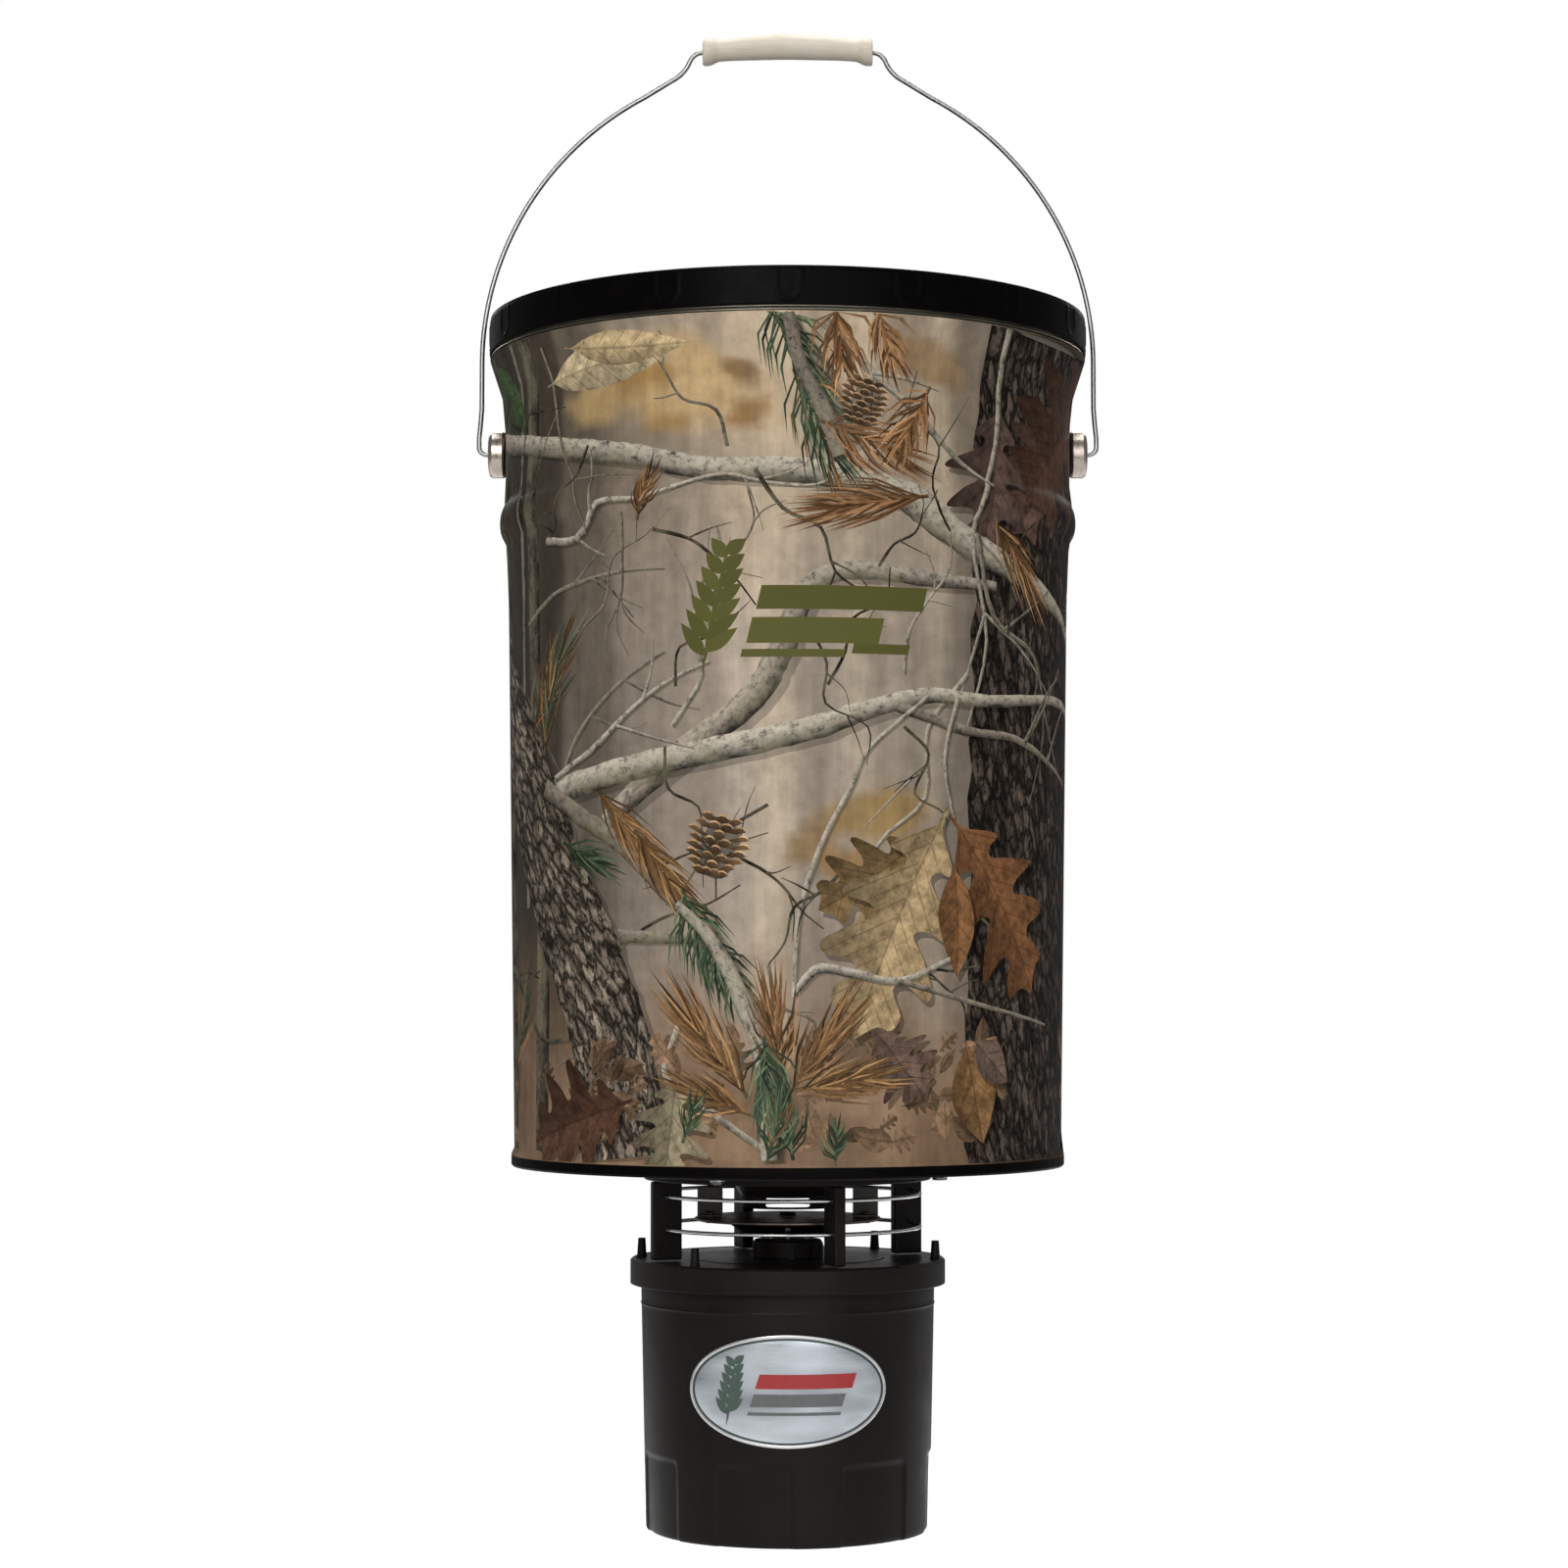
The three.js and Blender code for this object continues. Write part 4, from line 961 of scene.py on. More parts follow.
def add_leads():
    """Two leads from the timer to the battery's clips and two from the timer to the motor."""
    front = PLATE_FRONT
    for (_, side), (_, x, y, colour) in zip(SIDES, TERMINALS):
        away, lead = side * 25, side * 6
        battery_lead = [(side * 22, front, 122), (side * 23, -34, 122.5), (away, -20, 125), (away, 0, 126)]
        battery_lead += [(away, y - 12, 126), (x + side * 3, y - 3, 124), (x, y, 122), (x, y, CLIP_TOP)]
        motor_lead = [(lead, front, 110.5), (lead, -34, 110.8), (lead, -18, 112), (lead, -8, 114)]
        motor_lead += [(lead, -6, 116), (lead, -6, 118.2)]
        for name, route in (("battery_lead", battery_lead), ("motor_lead", motor_lead)):
            path = curve_through(route, 6)
            path[:, 2] = np.minimum(path[:, 2], LEAD_CEILING)
            mesh = tube(path, LEAD_RADIUS, 10).mesh()
            finish_piece(f"wire_{name}_{colour}", mesh, WIRE[colour], "feeder", f"{name}_{colour}")


# ---------------------------------------------------------------- timer

BUTTON_PLACES = (-24, -8, 8, 24)
BUTTON_HEIGHT = 86
TIMER_FRONT = -60


def add_timer():
    way = pin(4.2, -5, 5, 32, 0.1)
    holes = [placed(way, (x, TIMER_FRONT, BUTTON_HEIGHT), Z_TO_MINUS_Y) for x in BUTTON_PLACES]
    hollow = block((-33, TIMER_FRONT + 2, 68), (33, -20, 136), 0.5)
    window = block((-23.8, -70, 103.7), (23.8, -50, 128.3), 1.2)
    tray = block((-35, TIMER_FRONT, 66), (35, -30, 138), 1.4)
    tray = cut_away(tray, [hollow, window, *(hole.mesh() for hole in holes)])
    finish_piece("timer_tray", tray, MOULDING, "feeder", "timer_case")

    glass = [block((-23.5, -59.5, 104), (23.5, -56.7, 128)), block((-26, -57.7, 101.5), (26, -53.7, 130.5))]
    finish_piece("timer_glass", joined(glass), DISPLAY, "feeder", "timer_display")

    parts = [block((-32, -46, 70), (32, -44.4, 134), 0.2)]
    low, high = BUTTON_HEIGHT - 3, BUTTON_HEIGHT + 3
    parts += [block((x - 3, -48.6, low), (x + 3, -45.5, high)) for x in BUTTON_PLACES]
    parts.append(block((-8, -45, 88), (8, -42, 104)))
    finish_piece("timer_board", joined(parts), BOARD, "feeder", "circuit_board")

    outline = [(0, 49.8), (2, 49.8), (2, 56.3), (5.2, 56.3), (5.2, 57.7), (3.8, 57.7), (3.8, 61.6), (0, 61.2)]
    cap = turned_solid(outline, 40, 0.35)
    for i, x in enumerate(BUTTON_PLACES, 1):
        mesh = sharp_shading(placed(cap, (x, 0, BUTTON_HEIGHT), Z_TO_MINUS_Y).mesh(), 50)
        finish_piece(f"button_cap_{i}", mesh, BUTTON, f"button_{i}", f"timer_button_{i}")


# ---------------------------------------------------------------- ears, bail and lid

PIVOT_HEIGHT = 578
EAR_PLACE = 153.5
ROD_RADIUS = 1.35
BEND = 4.2                  # radius of the bend from the pivot into the upright
BOW_RADIUS = 166.6
BOW_HEIGHT = 628            # where the bail's round bow starts
GRIP_HALF = 46.5
GRIP_HEIGHT, GRIP_CROWN = 800, 3
LUGS = 16
LUG_PITCH = 360 / LUGS
LID_RADIUS = 162.4


def add_ears():
    outline = [(0, 0), (12.1, 0), (12.7, 1.2), (12.7, 6.8), (11.7, 8.5), (9.6, 9.0), (4.4, 8.7), (2.6, 9.0)]
    outline += [(1.9, 8.6), (1.9, 3), (0, 3)]
    ear = turned_solid(outline, 96, 0.9)
    for (name, side), axes in zip(SIDES, (Z_TO_MINUS_X, Z_TO_X)):
        mesh = placed(ear, (side * EAR_PLACE, 0, PIVOT_HEIGHT), axes).mesh()
        finish_piece(f"ear_cup_{name}", mesh, EAR_NICKEL, "feeder", f"ear_{name}")


def grip_line(x):
    """Height of the grip's slightly bowed middle line."""
    return GRIP_HEIGHT + GRIP_CROWN * (1 - (x / GRIP_HALF) ** 2)


def bail_route():
    """The whole bail from its left pivot end to its right one."""
    half = [(x, PIVOT_HEIGHT) for x in (157.1, 160.5, 163.8)]
    for angle in np.radians(np.arange(0, 91, 10)):
        half.append((168 - BEND * (1 - math.sin(angle)), PIVOT_HEIGHT + BEND * (1 - math.cos(angle))))
    half += [(168, 587), (167.3, 594), (BOW_RADIUS, 603), (BOW_RADIUS, 616), (BOW_RADIUS, BOW_HEIGHT)]
    for angle in np.radians(62 * np.arange(1, 32) / 31):
        half.append((BOW_RADIUS * math.cos(angle), BOW_HEIGHT + BOW_RADIUS * math.sin(angle)))
    kink = [(74, 779.4), (62.5, 784.8), (58, 788.2), (55, 792), (52.6, 796.6), (49.6, 799.2)]
    kink.append((GRIP_HALF, 800))
    half += [tuple(p) for p in curve_through(kink, 4)[4:]]
    half += [(x, grip_line(x)) for x in np.arange(42, 0, -4)]
    return [(-x, 0, z) for x, z in half] + [(0, 0, grip_line(0))] + [(x, 0, z) for x, z in half[::-1]]


def add_bail():
    finish_piece("bail_rod", tube(bail_route(), ROD_RADIUS, 14).mesh(), BAIL_WIRE, "bail", "bail_wire")

    spans = ((-GRIP_HALF, -30), (-29, 29), (30, GRIP_HALF))
    x = np.concatenate([np.linspace(*span, 30) for span in spans])
    out = np.abs(x)
    radii = 6.05 + 0.75 * smooth(38 - out, 0, 26) + 1.5 * smooth(out, 37.2, 42.5)
    radii -= 0.9 * np.clip((out - 45.1) / 1.4, 0, 1) ** 2
    radii += 0.22 * np.exp(-(((out - 43.6) / 0.45) ** 2))
    columns = 64
    t = even_turn(columns)
    seam = 0.16 * np.exp(-((np.sin(t) / 0.06) ** 2))
    top = np.exp(-(((t - math.pi / 2) / 0.5) ** 2))
    rows = []
    for xi, radius in zip(x, radii):
        nib = 1.25 * np.exp(-(((xi + 5.0) / 3.1) ** 4)) * top
        band = 0.12 * np.exp(-((abs(xi) - 8.5) / 0.5) ** 2)
        rows.append((xi, radius + seam + nib + band))
    rows += [(xi, 1.75 if abs(xi) < 46.3 else 2.2) for xi in (46.5, 46.0, 30, 15, 0, -15, -30, -46.0, -46.5)]
    points = [
        np.stack([np.full(columns, xi), r * np.cos(t), r * np.sin(t) + grip_line(xi)], 1)
        for xi, r in rows
    ]
    mesh = closed_mesh(np.concatenate(points), grid_faces(len(rows), columns, wrap_rows=True), 50)
    finish_piece("grip_sleeve", mesh, IVORY, "bail", "bail_grip")


def add_lid():
    """The pressed lid, with a raised U on its skirt for each lug."""
    azimuths = np.arange(640) * 360 / 640
    t = np.radians(azimuths)
    turn = (azimuths + LUG_PITCH / 2) % LUG_PITCH - LUG_PITCH / 2
    side = np.abs(np.radians(turn) * LID_RADIUS)

    def emboss(z):
        reach = np.where(z > 638.5, side, np.hypot(side, max(638.5 - z, 0)))
        ridge = 0.55 * np.exp(-(((reach - 6.2) / 0.75) ** 2))
        return ridge * smooth(648.6 - z, 0, 1.6) * smooth(z - 630, 0, 1)

    skirt = [(161.2, 629.6), (162.1, 629.6), (162.4, 630.1)]
    skirt += [(162.4, z) for z in np.arange(630.8, 647.2, 0.75)]
    skirt += [(162.35, 647.6), (162.1, 648.5)]
    outside = skirt + [(161.5, 649.3), (160.7, 649.8), (159.8, 650), (155.6, 650)]
    outside += [(154.9, 649.8), (154.4, 649.4), (154.2, 648.8), (154.2, 641.2), (154.0, 640.5)]
    outside += [(153.3, 640.05), (152.4, 640), (114, 640), (112.5, 640.3), (111, 641.2), (109.5, 641.6)]
    outside += [(102.5, 641.6), (101, 641.2), (99.5, 640.3), (98, 640), (40, 640), (0.4, 640)]
    under = [(0.4, 638.8), (155.6, 638.8), (155.6, 648.3), (161.0, 648.3), (161.0, 629.9)]
    rows = []
    for radius, z in outside + under:
        r = np.full(len(t), radius)
        if radius > 161.9:
            r += emboss(z) - 0.55
        rows.append(np.stack([r * np.sin(t), -r * np.cos(t), np.full(len(t), z)], 1))
    mesh = plain_mesh(np.concatenate(rows), grid_faces(len(rows), len(t), wrap_rows=True))
    finish_piece("lid_cover", sharp_shading(mesh, 48), ENAMEL, "lid", "lid")

    gasket = lathe([(156.3, 646.3), (160.3, 646.3), (160.3, 648), (156.3, 648)], 160)
    finish_piece("gasket_ring", gasket.mesh(), RUBBER, "lid", "lid_gasket")


def add_pail_bottom():
    outline = [(THROAT, 193.6), (136, 193.6), (138, 193.6), (144.5, 193.6), (144.5, 195.0), (THROAT, 195.0)]
    finish_piece("bottom_plate", lathe(outline, 192, 0.3).mesh(), BOTTOM_ZINC, "feeder", "pail_bottom")


for add_part in (add_floor, add_housing, add_motor, add_spinner, add_cup, add_badge, add_seal, add_battery,
                 add_carrier, add_leads, add_timer, add_ears, add_bail, add_lid, add_pail_bottom):
    add_part()


# ---------------------------------------------------------------- the pail and its woodland print
# The print is laid out flat: u runs round the wall in millimetres at a radius of 150, and z runs up it.
# Every shape of the print is an outline that the wall's own mesh follows, so nothing floats on the wall.

PRINT_RADIUS = 150.0
HALF_ROUND = math.pi * PRINT_RADIUS
PRINT_LOW, PRINT_HIGH = 199.4, 626.8
SEAM_HALF = 4.0
COLUMNS = 288

# The shell's outline in parts: up the outside, over the rim and down the inside.
FOOT = [(145.4, 193.5), (147.6, 193.5), (148.4, 194.6)]
SIDE = [(148.4, 200.4), (146.8, 203), (151, 494), (152.4, 528), (155.4, 532.5), (156.2, 538.5)]
SIDE += [(155.4, 544.5), (152.7, 549.4), (153.3, 598), (153.9, 604)]
RIM = [(161.6, 627.6), (160.4, 629.2), (160.4, 646), (158.6, 646)]
INSIDE = [(158.6, 629.4), (152.8, 604.4), (152.4, 598), (151.8, 549.4), (155.3, 538.5), (151.5, 528)]
INSIDE += [(150.1, 494), (145.6, 203)]


def rounded_profile(points, rounding):
    """The outline with each corner replaced by a curve as wide as its rounding allows."""
    p = np.array(points, float)
    path = [p[0]]
    for before, here, after in zip(p, p[1:], p[2:]):
        reach = min(rounding, 0.5 * np.linalg.norm(here - before), 0.5 * np.linalg.norm(after - here))
        start = here + (before - here) / np.linalg.norm(before - here) * reach
        end = here + (after - here) / np.linalg.norm(after - here) * reach
        path += [(1 - s) ** 2 * start + 2 * s * (1 - s) * here + s * s * end for s in np.linspace(0, 1, 7)]
    return np.array(path + [p[-1]])


WALL = rounded_profile(FOOT[-1:] + SIDE + RIM[:2], 3.2)
WALL = WALL[(WALL[:, 1] > 196) & (WALL[:, 1] < 628.4)]
WALL = WALL[np.concatenate([[True], np.diff(WALL[:, 1]) > 1e-6])]


def wall_radius(z):
    return np.interp(z, WALL[:, 1], WALL[:, 0])


def wall_slope(z):
    return (wall_radius(z + 0.4) - wall_radius(z - 0.4)) / 0.8


def linear(*rgb):
    """A colour given on the usual 0 to 255 scale."""
    values = np.array(rgb) / 255
    return np.where(values <= 0.04045, values / 12.92, ((values + 0.055) / 1.055) ** 2.4)


class Field:
    """Smooth random values that repeat once round the pail."""

    def __init__(self, seed, cell_u, cell_z):
        self.nu = int(2 * HALF_ROUND / cell_u)
        self.cell_u, self.cell_z = 2 * HALF_ROUND / self.nu, cell_z
        self.nz = int(480 / cell_z) + 4
        self.grid = np.random.default_rng(seed).random((self.nz, self.nu))

    def __call__(self, u, z):
        x = (u + HALF_ROUND) / self.cell_u
        y = np.clip((z - 190) / self.cell_z, 0, self.nz - 2.001)
        i, j = np.floor(x).astype(int), np.floor(y).astype(int)
        fx, fy = x - i, y - j
        fx, fy = fx * fx * (3 - 2 * fx), fy * fy * (3 - 2 * fy)
        left, right = i % self.nu, (i + 1) % self.nu
        low = self.grid[j, left] * (1 - fx) + self.grid[j, right] * fx
        high = self.grid[j + 1, left] * (1 - fx) + self.grid[j + 1, right] * fx
        return low * (1 - fy) + high * fy


HAZE, DARK_BARK, PALE_BARK, LEAF, NEEDLE, CONE, SHADOW, SPOT = range(8)
SEAM, CHIME, LINING = 8, 9, 10
LIGHT = np.array([-0.5, 0.86])          # the painter's light comes from the upper left
SMALLEST = 0.8                          # square millimetres; smaller shapes are dropped
NEEDLE_HALF = 0.625

dice = random.Random(20)
shapes = []                             # (kind, outline, colour, field, tint), in the order they are painted


def ways(angle):
    """Unit vectors along an angle, in radians, and across it to its left."""
    return np.array([math.cos(angle), math.sin(angle)]), np.array([-math.sin(angle), math.cos(angle)])


def paint_shape(kind, outline, colour, field=None, tint=0.0):
    outline = np.array(outline, float)
    limit = HALF_ROUND - SEAM_HALF - 1
    outline[:, 0] = np.clip(outline[:, 0], -limit, limit)
    outline[:, 1] = np.clip(outline[:, 1], PRINT_LOW + 0.4, PRINT_HIGH - 0.4)
    outline = outline[np.linalg.norm(np.roll(outline, -1, 0) - outline, axis=1) > 0.05]
    if len(outline) < 3:
        return
    after = np.roll(outline, -1, 0)
    area = 0.5 * np.sum(outline[:, 0] * after[:, 1] - after[:, 0] * outline[:, 1])
    if abs(area) >= SMALLEST:
        shapes.append((kind, outline[::-1] if area < 0 else outline, np.array(colour), field, tint))


def paint_shadow(outline, shift, strength):
    """Darkens what lies behind a shape by a factor."""
    paint_shape(SHADOW, np.array(outline) + shift, (strength,) * 3)


def along_line(line, half_widths):
    """Gives flat points their distance along the line, their place across it and how lit they are."""
    line = np.array(line, float)
    start, step = line[:-1], np.diff(line, axis=0)
    length = np.maximum(np.linalg.norm(step, axis=1), 1e-6)
    run = np.concatenate([[0], np.cumsum(length)])
    half_widths = np.array(half_widths, float)

    def field(u, z):
        p = np.stack([u, z], 1)[:, None, :]
        t = np.clip(((p - start) * step).sum(2) / length**2, 0, 1)
        foot = start + step * t[..., None]
        gaps = np.linalg.norm(p - foot, axis=2)
        best = gaps.argmin(1)
        nearest = (np.arange(len(u)), best)
        gap, s = gaps[nearest], t[nearest]
        lateral = p[:, 0] - foot[nearest]
        side = np.sign(step[best, 0] * lateral[:, 1] - step[best, 1] * lateral[:, 0])
        width = np.maximum(half_widths[best] * (1 - s) + half_widths[best + 1] * s, 0.2)
        reach = np.minimum(gap / width, 1)
        light = (lateral @ LIGHT) / np.maximum(gap, 1e-6) * reach
        return run[best] + s * length[best], side * reach, side * gap, light

    return field


def ribbon(kind, points, widths, colour, rough, steps, shade):
    """A smooth line with a width that changes along it and uneven sides."""
    line = curve_through(points, steps)
    half = np.interp(np.linspace(0, 1, len(line)), np.linspace(0, 1, len(widths)), widths) / 2
    direction = np.gradient(line, axis=0)
    direction /= np.linalg.norm(direction, axis=1)[:, None]
    normal = np.stack([-direction[:, 1], direction[:, 0]], 1)
    sides = []
    for side in (1, -1):
        wobble = np.array([dice.uniform(-1, 1) for _ in line]) * rough
        sides.append(line + side * normal * (half * (1 + wobble))[:, None])
    outline = np.concatenate([sides[0], sides[1][::-1]])
    if shade and half.max() > 1.2:
        paint_shadow(outline, np.array([1.6, -1.0]) * min(half.max() * 0.35, 2.4), 0.62)
    paint_shape(kind, outline, colour, along_line(line, half))
    return line


def branch(points, widths, colour, rough=0.08, steps=7, shade=True):
    return ribbon(PALE_BARK, points, widths, colour, rough, steps, shade)


def trunk(points, widths, colour):
    ribbon(DARK_BARK, points, widths, colour, 0.05, 10, True)


def twig(start, end, width, colour, bend=0.12, forks=2):
    """A thin twig that wanders from one place to another and forks."""
    a, b = np.array(start, float), np.array(end, float)
    side = np.array([-(b - a)[1], (b - a)[0]])
    points = [a + (b - a) * s + side * dice.uniform(-bend, bend) for s in (0.28, 0.52, 0.77)]
    line = branch([a, *points, b], [width, width * 0.75, width * 0.35], colour, 0.12, 4, width > 2.2)
    for _ in range(forks):
        i = dice.randrange(len(line) // 4, len(line) - 3)
        ahead = line[i + 1] - line[i - 1]
        turn = dice.choice((-1, 1)) * dice.uniform(0.5, 1.1)
        c, n = math.cos(turn), math.sin(turn)
        heading = np.array([ahead[0] * c - ahead[1] * n, ahead[0] * n + ahead[1] * c])
        reach = np.linalg.norm(b - a) * dice.uniform(0.2, 0.42)
        tip = line[i] + heading / np.linalg.norm(heading) * reach
        middle = (line[i] + tip) / 2 + side * dice.uniform(-0.05, 0.05)
        branch([line[i], middle, tip], [width * 0.55, width * 0.2], colour, 0.1, 4, False)


def spray(place, heading, length, count, colours, spread):
    """A pine spray: a fine stem with long needles that curve forward on both sides, the low ones darker."""
    place = np.array(place, float)
    angle = math.radians(heading)
    axis, _ = ways(angle)
    branch([place - axis * 3, place + axis * length * 0.8], [2.0, 0.9], colours[0] * 0.6, 0.1, 4, False)
    count = int(2.6 * count)
    for k in range(count):
        s = 0.72 * ((k * 0.618) % 1)
        side = 1 if k % 2 else -1
        lean = side * spread * (0.85 - 0.6 * s) * dice.uniform(0.2, 1.1)
        root = place + axis * length * s
        reach = length * dice.uniform(0.46, 0.72) * (1.05 - 0.3 * s)
        low, across = ways(angle + lean * 1.25)
        high, _ = ways(angle + lean * 0.55)
        middle = root + low * reach * 0.5
        tip = middle + high * reach * 0.5
        half = across * NEEDLE_HALF
        outline = [root - half * 0.7, middle - half, tip, middle + half, root + half * 0.7]
        colour = dice.choice(colours) * dice.uniform(0.22, 0.7 if k < 0.55 * count else 1.5)
        line = along_line([root, middle, tip], [NEEDLE_HALF] * 3)
        paint_shape(NEEDLE, outline, colour, line, dice.random())


# Half leaves, as (place along, half width) in parts of the length.
OAK = [(0.0, 0.012), (0.07, 0.015), (0.12, 0.06), (0.2, 0.17), (0.25, 0.2), (0.255, 0.12), (0.3, 0.09)]
OAK += [(0.36, 0.2), (0.45, 0.36), (0.5, 0.37), (0.49, 0.2), (0.53, 0.13), (0.6, 0.25), (0.7, 0.37)]
OAK += [(0.745, 0.34), (0.72, 0.18), (0.76, 0.12), (0.84, 0.2), (0.91, 0.2), (0.92, 0.1), (1.0, 0.0)]
LANCE = [(0.0, 0.012), (0.08, 0.02), (0.2, 0.16), (0.4, 0.27), (0.6, 0.26), (0.8, 0.16)]
LANCE += [(0.93, 0.06), (1.0, 0.0)]


def leaf(template, place, heading, length, colour, width=1.0, bend=0.0, shade=True):
    """A leaf from a template, turned, scaled and bent."""
    along_way, across_way = ways(math.radians(heading))
    sides = []
    for sign in (1, -1):
        half = [(s, sign * w * width * dice.uniform(0.92, 1.08)) for s, w in template]
        sides.append(curve_through(half, 3))
    flat = np.concatenate([sides[0], sides[1][::-1][1:]])
    flat[:, 1] += bend * flat[:, 0] * (1 - flat[:, 0])
    outline = place + length * (flat[:, :1] * along_way + flat[:, 1:] * across_way)

    def field(u, z):
        p = (np.stack([u, z], 1) - place) / length
        along, across = p @ along_way, p @ across_way
        across = across - bend * along * (1 - along)
        return along * length, np.clip(across / (0.37 * width), -1, 1), across * length, np.sign(across) * 0.5

    if shade:
        paint_shadow(outline, (2.4, -3.0), 0.5)
    paint_shape(LEAF, outline, colour, field, dice.random())


SCALE_LIP = [(-0.86, -0.34), (-0.3, 0.02), (0.35, -0.02), (0.86, -0.3), (0.5, 0.16), (0, 0.28), (-0.5, 0.12)]


def cone(place, heading, length, colour):
    """A pine cone: rows of overlapping scales, from the tip to the stalk."""
    axis, across = ways(math.radians(heading))
    round_it = [axis * length * (0.5 + 0.5 * math.cos(t)) + across * length * 0.34 * math.sin(t)
                for t in np.linspace(0, 6.1, 14)]
    paint_shadow(place + np.array(round_it), (1.6, -2), 0.4)
    for row in range(8):
        s = 0.98 - row * 0.125
        half = length * 0.36 * math.sin(math.pi * min(0.97, 0.16 + 0.8 * (1 - s))) ** 0.7
        count = 3 + row % 2
        for k in range(count):
            offset = (k - (count - 1) / 2) / ((count - 1) / 2)
            root = place + axis * length * (s - 0.12) + across * half * offset * 0.7
            tip = root + axis * length * 0.11 + across * half * offset * dice.uniform(0.35, 0.6)
            wide = length * dice.uniform(0.1, 0.135)
            line = along_line([root, tip + axis * wide * 0.35], [wide] * 2)

            def near(start, sideways, forward):
                return start + across * wide * sideways + axis * wide * forward

            body = [near(root, -0.7, 0), near(tip, -1, -0.3), near(tip, 0, 0.3), near(tip, 1, -0.3)]
            body.append(near(root, 0.7, 0))
            paint_shape(CONE, body, colour * dice.uniform(0.16, 0.34), line, dice.random())
            shade = dice.uniform(0.9, 1.7) * (0.7 if offset > 0.6 else 1.0)
            lip = [near(tip, *step) for step in SCALE_LIP]
            paint_shape(CONE, lip, colour * shade, line, dice.random())


PALE = linear(196, 186, 170)
GREY = linear(150, 139, 126)
DUSK = linear(78, 70, 62)
DARK = linear(50, 45, 40)
OLIVE = linear(84, 84, 44)
RUST = [linear(140, 100, 66), linear(112, 80, 52), linear(160, 124, 86)]
TAWNY = [linear(132, 98, 64), linear(108, 80, 54), linear(150, 116, 76)]
GREEN = [linear(80, 96, 74), linear(62, 78, 60), linear(98, 112, 82)]
MIXED = RUST[:2] + GREEN[:2]
GOLD_LEAF, TAN_LEAF = linear(158, 130, 90), linear(192, 166, 126)
BROWN_LEAF, DEEP_LEAF = linear(134, 94, 64), linear(88, 62, 48)
CONE_BROWN = linear(186, 148, 108)


def emblem(place):
    """A plain olive sprig beside plain slanted bars, printed over the wood."""
    def patch(points):
        outline = np.array(points, float) + place
        paint_shape(SPOT, outline, OLIVE, along_line(outline[:2], [1, 1]))

    def lens_shape(x, z, angle, length, width):
        c, n = math.cos(angle), math.sin(angle)
        t = np.linspace(0, 1, 9)
        half = width / 2 * np.sin(math.pi * t**0.8)
        path = [*zip(t * length, half), *zip(t[::-1] * length, -half[::-1])]
        patch([(x + a * c - b * n, z + a * n + b * c) for a, b in path])

    lens_shape(-36, -24, 1.35, 72, 3.2)
    for k in range(7):
        for angle, rise in ((2.2, 0), (0.6, 2)):
            lens_shape(-34.5 + 1.9 * k, -15 + 8.2 * k + rise, angle, 21 - 1.4 * k, 7.4)
    for x0, x1, z0, z1 in ((-8, 78, 8, 20), (-13, 54, -9, 4), (-16, 36, -16, -12), (40, 70, -14, -9)):
        slant = (z1 - z0) * 0.24
        patch([(x0, z0), (x1, z0), (x1 + slant, z1), (x0 + slant, z1)])


def litter_leaves(count, low, high):
    """Small dull leaves on the ground at the foot of the print."""
    for _ in range(count):
        place = (dice.uniform(low, high), 210 + 52 * dice.random() ** 1.4)
        template = OAK if dice.random() < 0.4 else LANCE
        colour = linear(132, 106, 82) * dice.uniform(0.4, 1.5)
        heading, length = dice.uniform(0, 180), dice.uniform(12, 25)
        leaf(template, place, heading, length, colour, dice.uniform(0.7, 1.0), 0.1, False)


